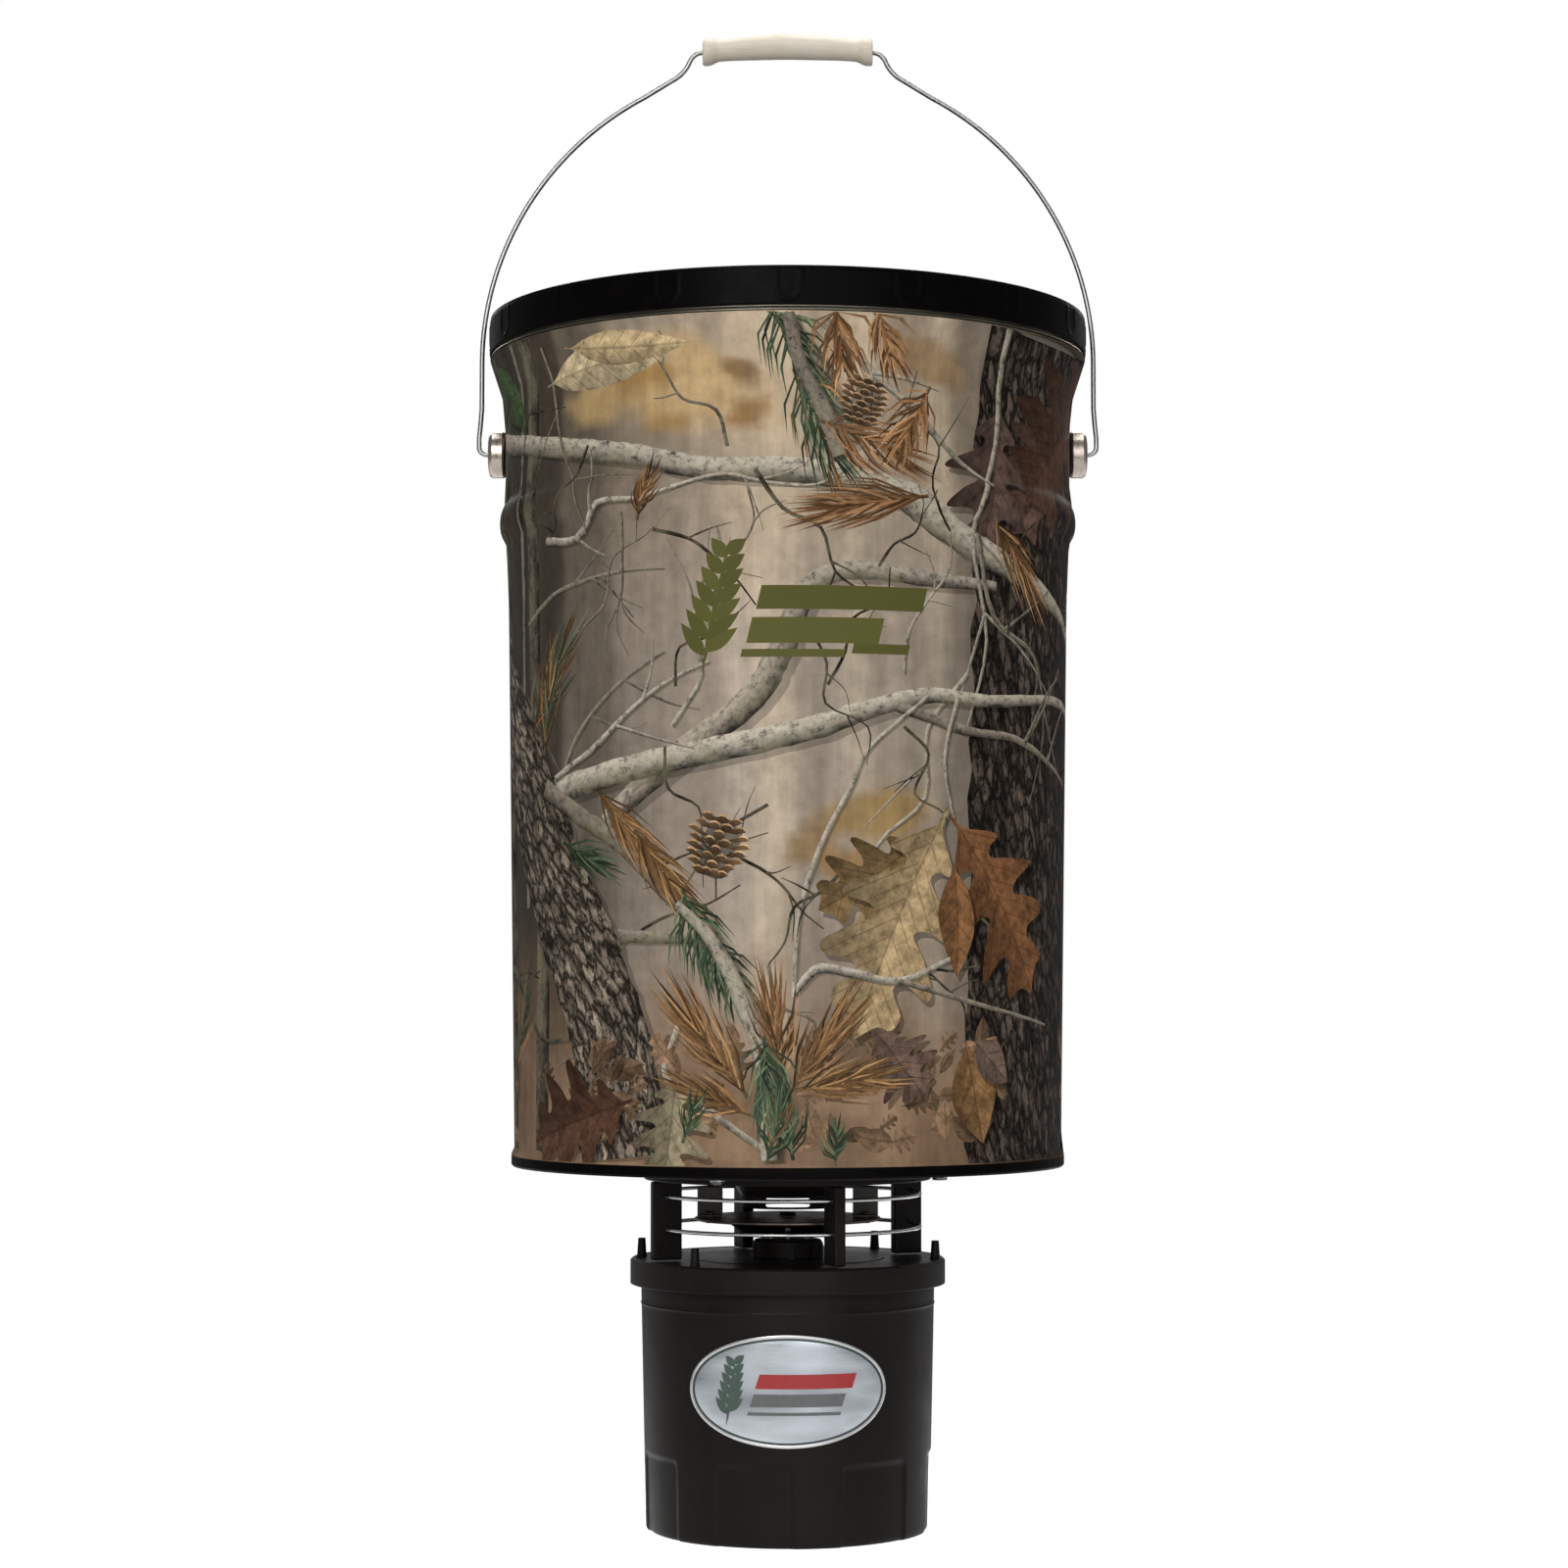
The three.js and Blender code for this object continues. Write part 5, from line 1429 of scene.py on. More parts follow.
def front_scene():
    """The half of the print that faces forward."""
    # far, dim stems
    for u, width, colour in ((-214, 34, linear(36, 32, 29)), (-158, 15, linear(98, 90, 79))):
        path = [(u, 204), (u + 4, 330), (u - 3, 470), (u + 2, 626)]
        branch(path, [width, width * 0.9, width * 0.8], colour, 0.03, 8, shade=False)
    branch([(-172, 330), (-175, 470), (-170, 626)], [5, 4.5, 4], linear(150, 142, 130), 0.05, 8)
    trunk([(158, 199), (155, 330), (156, 470), (160, 627)], [118, 110, 108, 114], linear(70, 61, 54))
    leaf(OAK, (178, 600), -122, 92, linear(104, 80, 68), 1.0, 0.1)
    leaf(OAK, (120, 590), -98, 84, linear(96, 76, 68), 0.9, -0.1)
    twig((-232, 300), (-130, 262), 4.5, DUSK, 0.1, 2)
    twig((-60, 203), (-128, 285), 4.0, GREY, 0.1, 2)

    # boughs
    branch([(34, 560), (14, 600), (-4, 626)], [10, 9, 8], GREY)
    path = [(-236, 584), (-125, 566), (-78, 558), (-40, 549), (10, 547), (54, 538), (76, 526), (102, 513)]
    path += [(150, 498), (206, 478), (246, 452)]
    branch(path, [10, 11, 11, 12, 14, 15, 16, 15, 11, 7, 2], PALE, 0.07, 8)
    path = [(118, 494), (74, 495), (33, 498), (12, 490), (3, 474), (-5, 454), (-22, 430), (-70, 396)]
    branch(path + [(-100, 372)], [5, 8, 9.5, 11, 12, 13, 14, 13, 11], linear(172, 160, 146), 0.08, 8)
    for row in (
        ((118, 626), (98, 420), 4.2, PALE, 0.05, 3), ((18, 622), (112, 545), 4.6, PALE, 0.06, 2),
        ((-146, 520), (-58, 540), 5.0, PALE, 0.12, 2), ((-58, 540), (34, 552), 2.6, PALE, 0.1, 2),
        ((-176, 350), (-64, 458), 3.4, GREY, 0.08, 3), ((-60, 420), (-36, 520), 2.8, PALE, 0.1, 2),
        ((98, 448), (40, 330), 3.0, PALE, 0.07, 2), ((104, 520), (190, 400), 3.4, GREY, 0.1, 3),
        ((-16, 548), (40, 486), 2.4, DUSK, 0.1, 2), ((60, 446), (86, 520), 2.2, PALE, 0.12, 2),
        ((-140, 620), (-112, 520), 2.6, GREY, 0.08, 2), ((-196, 520), (-150, 600), 2.2, DUSK, 0.1, 2),
        ((-100, 300), (-24, 340), 2.2, DUSK, 0.1, 2), ((-10, 300), (26, 240), 2.4, GREY, 0.1, 2),
        ((-168, 478), (-64, 500), 3.0, GREY, 0.12, 3),
    ):
        twig(*row)
    path = [(-146, 388), (-92, 398), (-36, 408), (11, 418), (41, 428), (74, 436), (113, 435), (186, 439)]
    branch(path + [(236, 430)], [13, 14, 13, 12, 10, 8, 6.5, 5, 4], PALE, 0.07, 8)
    twig((56, 430), (204, 396), 5.5, GREY, 0.05, 3)
    twig((-140, 396), (-40, 452), 4.0, PALE, 0.08, 2)
    for row in (
        ([(74, 436), (42, 409), (32, 389), (19, 365), (10, 341), (5, 319), (3, 284)],
         [2, 2.8, 3.2, 2.6], PALE, 0.08, 6),
        ([(92, 436), (84, 404), (90, 372)], [3, 2.4, 2], PALE, 0.08, 6),
        ([(-100, 315), (-70, 314), (-44, 313)], [7, 6.4, 5.4], GREY, 0.08, 6),
    ):
        branch(*row)
    twig((40, 290), (106, 300), 2.4, DUSK, 0.08, 2)
    for x0, z0, x1, z1 in (
        (-40, 470, -20, 540), (-58, 440, -28, 500), (46, 500, 76, 540), (60, 420, 84, 360),
        (-96, 360, -10, 366), (-30, 356, 18, 318), (128, 470, 150, 560), (-70, 520, -16, 480),
        (100, 330, 190, 290), (-120, 470, -60, 530), (-88, 530, -96, 448), (10, 470, 40, 400),
        (-10, 380, -64, 330), (-150, 350, -96, 300), (30, 350, -10, 300), (86, 520, 66, 600),
        (-30, 560, -70, 612), (-110, 566, -150, 520), (20, 440, 52, 500), (-64, 410, -30, 350),
        (-100, 260, -60, 214), (70, 300, 110, 250),
    ):
        twig((x0, z0), (x1, z1), dice.uniform(1.4, 2.2), dice.choice((DUSK, GREY, DARK)), 0.14, 2)

    # leaning trunk on the left
    path = [(-330, 627), (-284, 540), (-240, 470), (-180, 402), (-150, 356), (-120, 305), (-101, 262)]
    trunk(path + [(-90, 201)], [46, 50, 60, 58, 56, 54, 52, 60], linear(121, 110, 97))
    path = [(-150, 392), (-122, 378), (-89, 360), (-61, 334), (-39, 314), (-23, 282), (-11, 246), (-9, 203)]
    branch(path, [10, 10, 9, 8, 8, 9, 10, 10], GREY)
    branch([(-57, 270), (-64, 244), (-39, 226), (-11, 207)], [3.4, 4, 4, 3.4], PALE)

    litter_leaves(70, -150, 130)

    # leaves
    for row in (
        (LANCE, (-142, 600), 6, 84, linear(212, 192, 154), 0.5, 0.1, False),
        (LANCE, (-122, 617), -3, 74, linear(204, 180, 138), 0.4, -0.1, False),
        (LANCE, (-214, 622), -40, 62, linear(74, 92, 58), 0.7),
        (OAK, (70, 364), -146, 66, linear(128, 104, 70), 0.9, 0.1),
        (OAK, (86, 380), -114, 128, linear(176, 152, 114), 0.72, -0.1),
        (OAK, (87, 376), -54, 112, linear(128, 88, 58), 0.8, 0.12),
        (LANCE, (90, 352), -88, 58, linear(142, 100, 66), 0.7, 0.1),
    ):
        leaf(*row)
    branch([(3, 286), (15, 298), (33, 296), (58, 292), (88, 303)], [3.4, 5, 4.6, 4, 2.6], PALE, 0.08, 6)
    branch([(58, 292), (113, 279), (171, 269)], [3, 2.4, 1.6], GREY, 0.08, 6)
    for row in (
        (OAK, (226, 626), -136, 124, DEEP_LEAF, 1.0, 0.1),
        (OAK, (44, 268), -50, 44, linear(112, 90, 80), 1.2),
        (LANCE, (98, 262), -76, 54, linear(140, 106, 70), 1.0),
        (LANCE, (104, 262), -40, 34, linear(118, 98, 86), 1.1), (OAK, (-84, 232), 196, 84, DEEP_LEAF, 1.0),
        (OAK, (-58, 246), 262, 54, linear(150, 138, 112), 1.1),
        (OAK, (-190, 250), 215, 62, linear(84, 68, 52), 1.0),
    ):
        leaf(*row)

    # sprays and cones
    for row in (
        ((-8, 630), -62, 54, 20, GREEN, 0.9), ((22, 632), -80, 44, 22, RUST, 1.0),
        ((4, 596), -66, 60, 22, GREEN + RUST[:1], 0.8),
    ):
        spray(*row)
    branch([(0, 626), (6, 602), (17, 580), (27, 556)], [6, 7, 8, 10], GREY, 0.08)
    for row in (
        ((18, 572), -20, 56, 20, RUST, 0.75), ((72, 590), -118, 40, 20, RUST, 1.0),
        ((42, 628), -66, 36, 18, RUST, 1.0), ((68, 536), 190, 62, 22, RUST, 0.5),
        ((116, 528), -44, 60, 22, RUST, 0.6), ((-164, 420), 52, 66, 22, MIXED, 0.55),
        ((-150, 412), 80, 50, 16, RUST + GREEN[:1], 0.5), ((-104, 388), -48, 60, 26, TAWNY, 0.5),
        ((-80, 366), -52, 56, 24, TAWNY, 0.5), ((-54, 336), -70, 48, 20, GREEN, 1.0),
        ((-40, 314), -66, 42, 18, GREEN, 1.0), ((-130, 362), -24, 40, 14, GREEN, 0.6),
    ):
        spray(*row)
    branch([(-58, 331), (-39, 312), (-23, 282), (-11, 246), (-9, 203)], [4, 7, 9, 9, 9], PALE, 0.08)
    for row in (
        ((-22, 236), 128, 64, 24, TAWNY, 0.6), ((-20, 226), 158, 46, 16, TAWNY, 0.6),
        ((-3, 242), 98, 52, 22, TAWNY, 0.7), ((2, 238), 54, 54, 22, TAWNY, 0.65),
        ((6, 238), 8, 52, 20, TAWNY, 0.6), ((-12, 262), -84, 46, 22, GREEN, 1.0),
        ((24, 203), 86, 20, 12, GREEN, 1.1), ((-54, 214), 70, 24, 8, GREEN, 0.9),
        ((-78, 528), 70, 26, 10, RUST, 0.8), ((2, 206), 104, 38, 16, GREEN, 0.9),
        ((-10, 204), 76, 36, 14, GREEN + RUST[:1], 0.9), ((-196, 250), 60, 50, 18, MIXED, 0.7),
    ):
        spray(*row)
    cone((34, 572), 74, 24, CONE_BROWN)
    cone((-40, 345), 76, 31, CONE_BROWN)
    emblem((-8, 470))


def back_scene():
    """The half behind: the same kinds of things in places of their own."""
    trunk([(-318, 204), (-322, 360), (-312, 500), (-318, 626)], [86, 76, 74, 78], linear(64, 57, 50))
    path = [(392, 204), (360, 300), (330, 420), (318, 520), (300, 626)]
    trunk(path, [66, 54, 46, 42, 40], linear(104, 94, 82))
    for row in (
        ([(240, 330), (300, 352), (360, 392), (410, 452), (462, 480)], [1.5, 8, 14, 12, 9], PALE, 0.07, 8),
        ([(-460, 556), (-400, 548), (-330, 566), (-270, 560), (-236, 586)], [9, 12, 13, 12, 10], PALE, 0.07),
        ([(-466, 372), (-400, 392), (-350, 384), (-290, 404), (-220, 392)], [8, 12, 13, 9, 2], GREY),
        ([(226, 430), (290, 446), (350, 500), (420, 520), (466, 556)], [4, 9, 12, 11, 9], GREY),
        ([(-444, 200), (-420, 280), (-430, 340), (-404, 392)], [12, 9, 8, 4], GREY),
    ):
        branch(*row)
    for u, width in ((-446, 7), (-388, 10), (-276, 6), (252, 9), (276, 5), (430, 8), (404, 5)):
        path = [(u, 200), (u + 5, 340), (u - 4, 480), (u + 3, 627)]
        branch(path, [width, width * 0.9, width * 0.7], linear(104, 96, 85), 0.05, 8, shade=False)
    litter_leaves(60, 200, 450)
    litter_leaves(60, -450, -200)
    for _ in range(44):
        u = dice.choice((-1, 1)) * dice.uniform(240, 448)
        z = dice.uniform(230, 600)
        reach, a = dice.uniform(40, 100), dice.uniform(0, 2 * math.pi)
        end = (max(-462, min(462, u + reach * math.cos(a))), max(208, min(622, z + reach * math.sin(a))))
        twig((u, z), end, dice.uniform(1.6, 4.4), dice.choice((PALE, GREY, DUSK)), 0.1, 2)
    for _ in range(17):
        u = dice.choice((-1, 1)) * dice.uniform(262, 432)
        z = dice.uniform(240, 600)
        heading = dice.uniform(0, 360)
        template = dice.choice((OAK, OAK, LANCE))
        colour = dice.choice((GOLD_LEAF, TAN_LEAF, BROWN_LEAF, DEEP_LEAF))
        leaf(template, (u, z), heading, dice.uniform(52, 104), colour, dice.uniform(0.8, 1.1))
    for _ in range(27):
        u = dice.choice((-1, 1)) * dice.uniform(250, 440)
        z = dice.uniform(236, 596)
        colours = dice.choice((RUST, GREEN, MIXED))
        spray((u, z), dice.uniform(0, 360), dice.uniform(44, 66), 18, colours, dice.uniform(0.5, 0.9))
    cone((-372, 470), 70, 32, CONE_BROWN)
    cone((300, 420), 250, 30, CONE_BROWN)


front_scene()
back_scene()


cloud_fields = [Field(3, 120, 90), Field(4, 46, 40), Field(5, 18, 60), Field(6, 26, 22), Field(7, 9, 140)]

# Far stems: place round the wall, half-width, softness, colour and how strongly they show.
FAR_STEMS = [
    (-232, 24, 8, linear(40, 36, 32), 0.9), (-192, 26, 7, linear(58, 52, 46), 0.9),
    (-150, 18, 8, linear(66, 59, 52), 0.85), (-124, 5, 4, linear(132, 122, 108), 0.5),
    (-108, 13, 10, linear(92, 83, 73), 0.75), (-74, 14, 12, linear(128, 117, 105), 0.6),
    (-44, 9, 10, linear(146, 133, 119), 0.6), (-8, 10, 7, linear(204, 186, 160), 0.5),
    (14, 8, 9, linear(132, 120, 108), 0.5), (38, 5, 5, linear(190, 174, 150), 0.45),
    (56, 12, 10, linear(138, 126, 112), 0.55), (78, 6, 6, linear(182, 166, 144), 0.45),
    (96, 10, 8, linear(120, 110, 98), 0.6), (236, 20, 8, linear(64, 58, 50), 0.8),
    (270, 9, 8, linear(138, 127, 113), 0.6), (300, 16, 10, linear(90, 81, 70), 0.6),
    (352, 10, 9, linear(150, 138, 122), 0.6), (398, 18, 10, linear(84, 75, 64), 0.7),
    (440, 9, 8, linear(142, 131, 116), 0.6), (-446, 12, 9, linear(88, 79, 68), 0.7),
    (-402, 8, 8, linear(150, 140, 124), 0.6), (-364, 16, 10, linear(78, 70, 61), 0.7),
    (-268, 10, 8, linear(132, 121, 108), 0.6),
]

# Soft, out-of-focus leaves: place, half sizes, tilt and colour.
FAR_LEAVES = [
    (-56, 592, 58, 26, -8, linear(196, 166, 118)), (-76, 594, 22, 9, 12, linear(150, 118, 72)),
    (-24, 599, 14, 8, -20, linear(120, 92, 56)), (-20, 578, 16, 9, 30, linear(140, 104, 60)),
    (-64, 574, 20, 8, -14, linear(162, 128, 78)), (-112, 586, 20, 9, -10, linear(178, 150, 104)),
    (40, 376, 34, 15, 8, linear(150, 122, 74)), (12, 362, 20, 11, 30, linear(140, 114, 78)),
    (34, 348, 24, 11, -24, linear(146, 112, 66)), (52, 330, 26, 10, 40, linear(150, 120, 72)),
    (70, 606, 24, 10, -20, linear(140, 114, 82)), (-320, 590, 30, 12, 20, linear(170, 138, 84)),
    (330, 560, 30, 13, -16, linear(170, 138, 84)), (280, 300, 26, 11, 30, linear(160, 126, 72)),
    (-270, 330, 26, 11, -30, linear(160, 126, 72)), (420, 340, 26, 11, 10, linear(150, 116, 66)),
]


def backdrop_colour(u, z):
    """The hazy wood behind everything, as a smooth painting of (u, z), darkened by painted shade towards the
    sides.
    """
    broad, middle, streak, litter, fine = [field(u, z) for field in cloud_fields]
    haze = linear(160, 147, 133)
    upper = linear(182, 163, 138)
    colour = haze + (upper - haze) * smooth(z, 430, 600)[:, None]
    colour = colour * (0.72 + 0.5 * broad + 0.2 * middle)[:, None]
    # Painted shade: the wood darkens away from the front towards both sides, as if the round wall turned from
    # the light, and a little less so at the back.
    sides = smooth(np.abs(u + 4), 24, 160) * (1 - 0.35 * smooth(np.abs(u), 260, 420))
    colour = colour * (1 - 0.86 * sides)[:, None]
    for place, half, soft, tone, strength in FAR_STEMS:
        edge = np.abs(u + 3 * np.sin(z / 60 + place) - place)
        cover = strength * (1 - smooth(edge, half - soft / 2, half + soft)) * smooth(z, 208, 262)
        colour = colour * (1 - cover[:, None]) + tone * cover[:, None] * (0.85 + 0.3 * streak)[:, None]
    ground = linear(116, 94, 74) * (1 - litter[:, None]) + linear(158, 130, 104) * litter[:, None]
    dirt = linear(70, 54, 42)
    ground = ground * (0.55 + 0.45 * middle[:, None]) + dirt * (0.3 * (1 - middle))[:, None]
    cover = 1 - smooth(z + 34 * (middle - 0.5) + 22 * (litter - 0.5), 226, 330)
    colour = colour * (1 - cover[:, None]) + ground * cover[:, None]
    for place, height, long, wide, tilt, tone in FAR_LEAVES:
        c, n = math.cos(math.radians(tilt)), math.sin(math.radians(tilt))
        x, y = (u - place) * c + (z - height) * n, -(u - place) * n + (z - height) * c
        reach = np.hypot(x / long, y / wide) + 0.5 * (litter - 0.5)
        cover = 0.85 * (1 - smooth(reach, 0.6, 1.1))
        colour = colour * (1 - cover[:, None]) + tone * cover[:, None]
    return colour * (0.9 + 0.2 * fine)[:, None]


def printed_wall():
    """Splits the wall along every outline of the print. Returns flat points, triangles and their shapes."""
    rows = [PRINT_LOW, 200.2, 201, 201.8, 202.6, 203.4, 206, *np.arange(210, 524, 7.2)]
    rows += [*np.arange(525, 553, 1.4), *np.arange(559, 594, 7), *np.arange(596, 608, 1.7)]
    rows += [613, 618, 622.5, PRINT_HIGH]
    stride, steps = COLUMNS + 1, len(rows) - 1
    points = [(u, z) for z in rows for u in np.linspace(-HALF_ROUND, HALF_ROUND, stride)]
    last = steps * stride
    edges = [(first + j, first + j + 1) for first in (0, last) for j in range(COLUMNS)]
    edges += [(i * stride + j, (i + 1) * stride + j) for j in (0, COLUMNS) for i in range(steps)]
    seam = HALF_ROUND - SEAM_HALF
    for edge in (-seam, seam):
        first = len(points)
        points += [(edge, z) for z in rows]
        edges += [(first + i, first + i + 1) for i in range(steps)]
    faces = []
    for shape in shapes:
        first = len(points)
        points += [tuple(p) for p in shape[1]]
        faces.append(list(range(first, len(points))))
    found = delaunay_2d_cdt([Vector(p) for p in points], edges, faces, 0, 1e-3, True)
    return np.array([tuple(p) for p in found[0]]), np.array([tuple(t) for t in found[2]]), found[5]


def print_paint(name):
    """Lacquered print on steel. Its colour comes from the tone that the mesh carries."""
    paint = Paint(name, Roughness=0.5, Specular_IOR_Level=0.06)
    paint.tone = paint.attribute("tone", "Color")
    paint.flow = paint.attribute("art")
    paint.bump(paint.noise(380, 2), 0.05, 0.25)
    return paint


def toned(paint, factor):
    """The tone times a grey factor that may pass 1."""
    spread = paint.node("CombineXYZ", {"X": factor, "Y": factor, "Z": factor}).outputs[0]
    return paint.node("VectorMath", {0: paint.tone, 1: spread}, operation="MULTIPLY").outputs[0]


def backdrop_material():
    paint = print_paint("print_backdrop")
    streak = paint.noise(1.0, 4, 0.6, vector=paint.scaled(170, 170, 14))
    speck = paint.noise(110, 5, 0.6)
    factor = paint.math("MULTIPLY", paint.spread(streak, 0.88, 1.12), paint.spread(speck, 0.84, 1.16))
    return paint.use(toned(paint, factor)).material


def bark_material():
    paint = print_paint("print_bark")
    stretched = paint.scaled(0.05, 0.11, 5.0, paint.flow)
    wander = paint.noise(3.0, 3, vector=stretched)
    shift = paint.node("CombineXYZ", {"X": wander, "Y": wander}).outputs[0]
    place = paint.node("VectorMath", {0: stretched, 1: shift}, operation="ADD").outputs[0]
    cracks = paint.cells(1.7, place, feature="DISTANCE_TO_EDGE")
    plates = paint.parts(paint.cells(1.7, place, output="Color"))[0]
    rough = paint.noise(1.0, 6, 0.75, vector=paint.scaled(0.35, 0.9, 3.0, paint.flow))
    open_bark = paint.math("MULTIPLY_ADD", paint.span(cracks, 0.03, 0.3), 0.95, 0.08)
    plate_tone = paint.math("MULTIPLY", paint.span(plates, 0, 1, 0.65, 1.7),
                            paint.span(rough, 0.32, 0.68, 0.25, 2.4))
    return paint.use(toned(paint, paint.math("MULTIPLY", open_bark, plate_tone))).material


def branch_material():
    paint = print_paint("print_branch")
    patch = paint.noise(1.0, 4, 0.6, vector=paint.scaled(0.05, 0.11, 4.0, paint.flow))
    rings = paint.noise(1.0, 6, 0.78, vector=paint.scaled(0.26, 0.34, 6.0, paint.flow))
    marks = paint.ramp(rings, [(0.36, 0.2), (0.47, 0.9), (0.6, 1.25)])
    factor = paint.math("MULTIPLY", paint.spread(patch, 0.66, 1.28), marks)
    lichen = paint.ramp(patch, [(0.42, 0.0), (0.6, 0.45)])
    colour = paint.mix(lichen, toned(paint, factor), (0.22, 0.2, 0.12))
    return paint.use(colour).material


def leaf_material():
    paint = print_paint("print_leaf")
    along, across, _ = paint.parts(paint.flow)
    side = paint.math("ABSOLUTE", across)
    slant = paint.math("MULTIPLY_ADD", side, -1.05, along)
    wave = paint.math("PINGPONG", slant, 5.2)
    veins = paint.span(wave, 0.25, 0.75, 1.0, 0.0)
    midrib = paint.span(side, 0.4, 0.8, 1.0, 0.0)
    lines = paint.math("MAXIMUM", veins, midrib, clamp=True)
    mottle = paint.noise(1.0, 5, 0.7, vector=paint.scaled(0.16, 0.16, 9.0, paint.flow))
    spots = paint.ramp(paint.noise(1.0, 5, 0.7, vector=paint.scaled(0.4, 0.4, 5.0, paint.flow)),
                       [(0.28, 0.35), (0.4, 1.0)])
    factor = paint.math("MULTIPLY", paint.spread(mottle, 0.42, 1.5), spots)
    body = toned(paint, factor)
    dark = toned(paint, paint.math("MULTIPLY", factor, 0.42))
    return paint.use(paint.mix(paint.math("MULTIPLY", lines, 0.6), body, dark)).material


def needle_material():
    paint = print_paint("print_needle")
    fleck = paint.noise(1.0, 3, vector=paint.scaled(0.3, 1.2, 9.0, paint.flow))
    return paint.use(toned(paint, paint.spread(fleck, 0.7, 1.35))).material


def cone_material():
    paint = print_paint("print_cone")
    grain = paint.noise(1.0, 4, 0.7, vector=paint.scaled(0.3, 1.6, 9.0, paint.flow))
    return paint.use(toned(paint, paint.spread(grain, 0.6, 1.4))).material


def lined_steel():
    """The bare inside of the pail, with a thin gold lacquer."""
    paint = Paint("lined_steel", Metallic=1.0)
    cloud = paint.noise(30, 4)
    paint.use(paint.mix(cloud, (0.42, 0.38, 0.3), (0.58, 0.53, 0.42)), paint.spread(cloud, 0.26, 0.42))
    return paint.bump(paint.noise(1.0, 3, vector=paint.scaled(40, 40, 700)), 0.1, 0.1).material


# ---------------------------------------------------------------- the pail's mesh

SLOT_OF = {HAZE: 0, DARK_BARK: 1, PALE_BARK: 2, LEAF: 3, NEEDLE: 4, CONE: 5, SPOT: 4, SEAM: 0}
SLOT_OF.update({LINING: 6, CHIME: 7})
SEAM_TONE = linear(82, 75, 68)
DARKEST = 0.3                           # what all shadows on one spot leave at least


def round_shade(across):
    """How a round stem darkens towards its sides."""
    return np.sqrt(np.maximum(0, 1 - 0.9 * across**2))


def shape_tone(kind, colour, across, light, along):
    """The colour of a shape at a point, as the painter would shade it."""
    if kind == DARK_BARK:
        factor = 0.36 + 0.5 * round_shade(across) + 0.42 * light
    elif kind == PALE_BARK:
        factor = np.clip(0.12 + 0.62 * round_shade(across) + 0.85 * light, 0.06, 1.5)
    elif kind == LEAF:
        factor = 0.9 + 0.36 * light - 0.35 * np.abs(across)
    elif kind == NEEDLE:
        factor = 1.0 - 0.35 * np.abs(across) + 0.014 * along
    elif kind == SPOT:
        factor = 1 + 0 * along
    else:
        factor = 0.35 + 0.11 * along
    return colour * np.maximum(factor, 0.06)[:, None]


def what_shows(overlaps):
    """For each triangle, the topmost shape, -1 for none, and how much the shadows above it leave."""
    top = np.full(len(overlaps), -1)
    dim = np.ones(len(overlaps))
    for i, inside in enumerate(overlaps):
        top[i] = max((index for index in inside if shapes[index][0] != SHADOW), default=-1)
        for index in inside:
            if shapes[index][0] == SHADOW and index > top[i]:
                dim[i] *= shapes[index][2][0]
    return top, np.maximum(dim, DARKEST)


def painted(corner_u, corner_z, overlaps):
    """The tone, the place in its own shape and the kind of every corner of the triangles."""
    top, dim = what_shows(overlaps)
    tone = np.zeros((len(top), 3, 3))
    flow = np.zeros((len(top), 3, 3))
    kinds = np.full(len(top), HAZE)
    bare = top < 0
    tone[bare] = backdrop_colour(corner_u[bare].ravel(), corner_z[bare].ravel()).reshape(-1, 3, 3)
    order = np.argsort(top, kind="stable")
    bounds = np.searchsorted(top[order], np.arange(len(shapes) + 1))
    for index, (kind, _, colour, field, tint) in enumerate(shapes):
        chosen = order[bounds[index]:bounds[index + 1]]
        if kind == SHADOW or not len(chosen):
            continue
        along, across, across_mm, light = field(corner_u[chosen].ravel(), corner_z[chosen].ravel())
        tone[chosen] = shape_tone(kind, colour, across, light, along).reshape(-1, 3, 3)
        if kind == SPOT:
            along, across_mm = 0 * along, 0 * along
        mark = np.full(len(along), tint + 0.37 * (index % 11))
        flow[chosen] = np.stack([along, across_mm, mark], 1).reshape(-1, 3, 3)
        kinds[chosen] = kind
    seam = np.abs(corner_u.mean(1)) > HALF_ROUND - SEAM_HALF
    kinds[seam] = SEAM
    tone[seam] = SEAM_TONE
    return tone * dim[:, None, None], flow, kinds


def swept(pairs, turns):
    """(r, z) pairs carried round the pail's axis, row by row."""
    s, c = np.sin(turns), -np.cos(turns)
    return np.stack([pairs[:, :1] * s, pairs[:, :1] * c, pairs[:, 1:] + 0 * s], 2).reshape(-1, 3)


def set_corner_values(mesh, name, kind, channel, values):
    layer = mesh.attributes.new(name, kind, "CORNER")
    layer.data.foreach_set(channel, values.astype(np.float32).ravel())


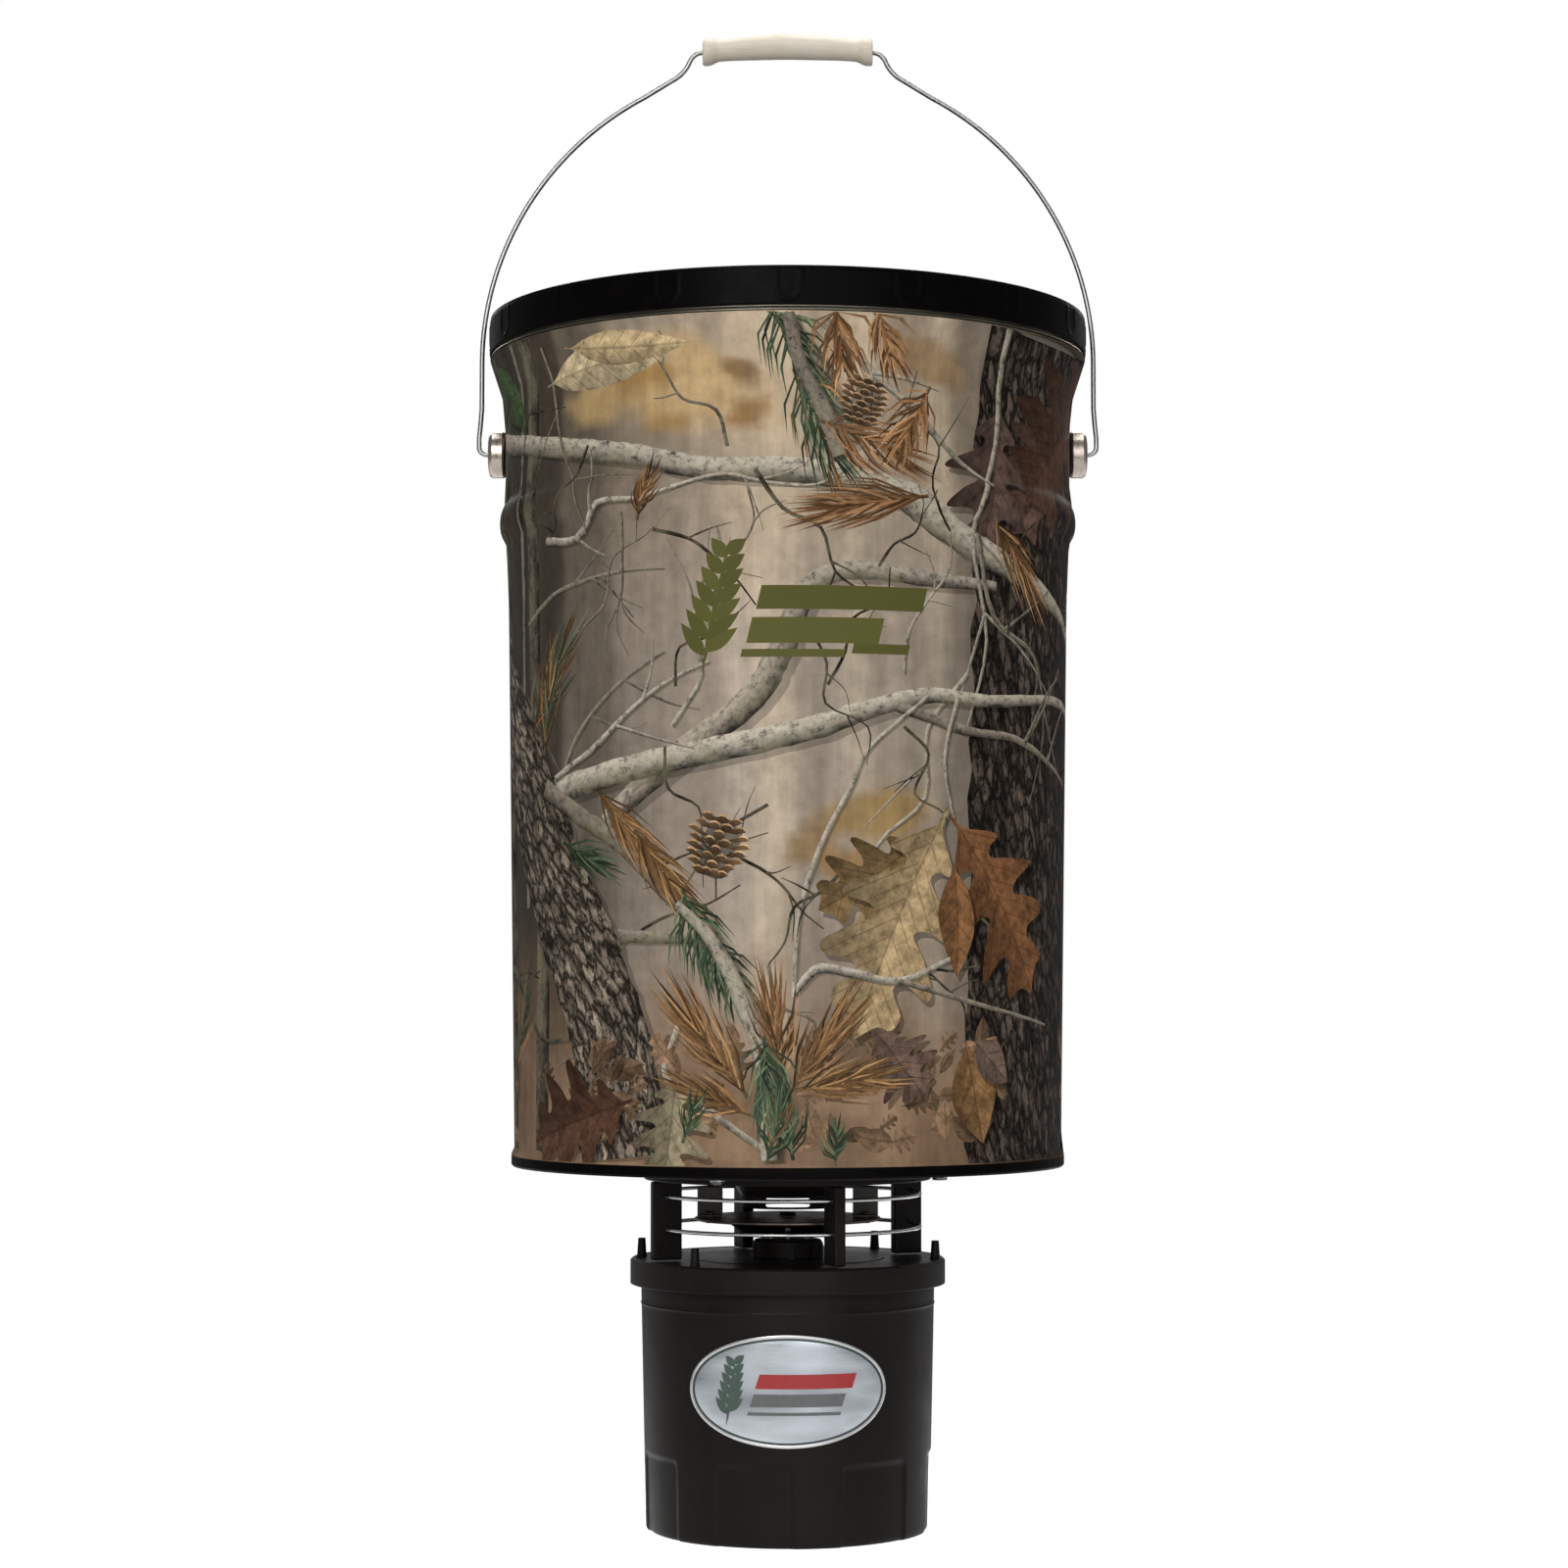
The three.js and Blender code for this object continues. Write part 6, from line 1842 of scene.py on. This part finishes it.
def add_pail():
    points, triangles, overlaps = printed_wall()
    u, z = points[:, 0], points[:, 1]
    tone, flow, kinds = painted(u[triangles], z[triangles], overlaps)

    azimuth = u / PRINT_RADIUS
    radius = wall_radius(z)
    place = np.stack([radius * np.sin(azimuth), -radius * np.cos(azimuth), z], 1)
    normal = np.stack([np.sin(azimuth), -np.cos(azimuth), -wall_slope(z)], 1)

    # join the two sides of the seam
    def column(chosen):
        row = np.nonzero(chosen)[0]
        return row[np.argsort(z[row])]

    goes_to = np.arange(len(points))
    goes_to[column(u > HALF_ROUND - 0.01)] = column(u < -HALF_ROUND + 0.01)

    # the rest of the shell: over the rim, down the inside, round the foot
    def border(height):
        row = np.nonzero((np.abs(z - height) < 0.01) & (u < HALF_ROUND - 0.01))[0]
        return row[np.argsort(u[row])]

    low_row, high_row = border(PRINT_LOW), border(PRINT_HIGH)
    turns = azimuth[low_row]
    path = [(float(wall_radius(PRINT_HIGH)), PRINT_HIGH)] + RIM + INSIDE + FOOT
    ring, ring_normal = soften(path + [(float(wall_radius(PRINT_LOW)), PRINT_LOW)], 0.45, 3)
    ring, ring_normal = ring[1:-1], ring_normal[1:-1]
    columns = len(turns)
    first_rows = len(points) + columns * np.arange(len(ring))
    rows = [high_row, *(first_rows[:, None] + np.arange(columns)), low_row]
    heights = [PRINT_HIGH, *ring[:, 1], PRINT_LOW]
    radii = [162, *ring[:, 0], 147]
    quads, quad_kinds = [], []
    for i, (a, b) in enumerate(zip(rows, rows[1:])):
        foot = min(heights[i:i + 2]) < 203.7 and max(radii[i:i + 2]) > 145.9
        quads.append(np.stack([a, np.roll(a, -1), np.roll(b, -1), b], 1))
        quad_kinds += [CHIME if foot or i < 2 else LINING] * columns
    quads = np.concatenate(quads)
    place = np.concatenate([place, swept(ring, turns)])
    normal = np.concatenate([normal, swept(ring_normal, turns)])

    # vertices that no face uses are dropped
    faces = goes_to[triangles].tolist() + quads.tolist()
    used = np.unique(np.concatenate([goes_to[triangles].ravel(), quads.ravel()]))
    renumber = np.zeros(len(place), int)
    renumber[used] = np.arange(len(used))
    faces = [renumber[face].tolist() for face in faces]

    mesh = bpy.data.meshes.new("pail_wall")
    mesh.from_pydata((place[used] * MM).tolist(), [], faces)
    mesh.polygons.foreach_set("use_smooth", [True] * len(faces))
    mesh.polygons.foreach_set("material_index", [SLOT_OF[kind] for kind in [*kinds.tolist(), *quad_kinds]])
    filler = np.zeros((4 * len(quads), 3))
    tone = np.concatenate([tone.reshape(-1, 3), filler])
    set_corner_values(mesh, "tone", "FLOAT_COLOR", "color", np.column_stack([tone, np.ones(len(tone))]))
    set_corner_values(mesh, "art", "FLOAT_VECTOR", "vector", np.concatenate([flow.reshape(-1, 3), filler]))
    shading = normal[used]
    shading /= np.linalg.norm(shading, axis=1)[:, None]
    mesh.normals_split_custom_set_from_vertices(shading.tolist())
    materials = [backdrop_material(), bark_material(), branch_material(), leaf_material(), needle_material(),
                 cone_material(), lined_steel(), black_enamel]
    finish_piece("pail_wall", mesh, (materials, "printed_steel"), "feeder", "pail_shell")


add_pail()
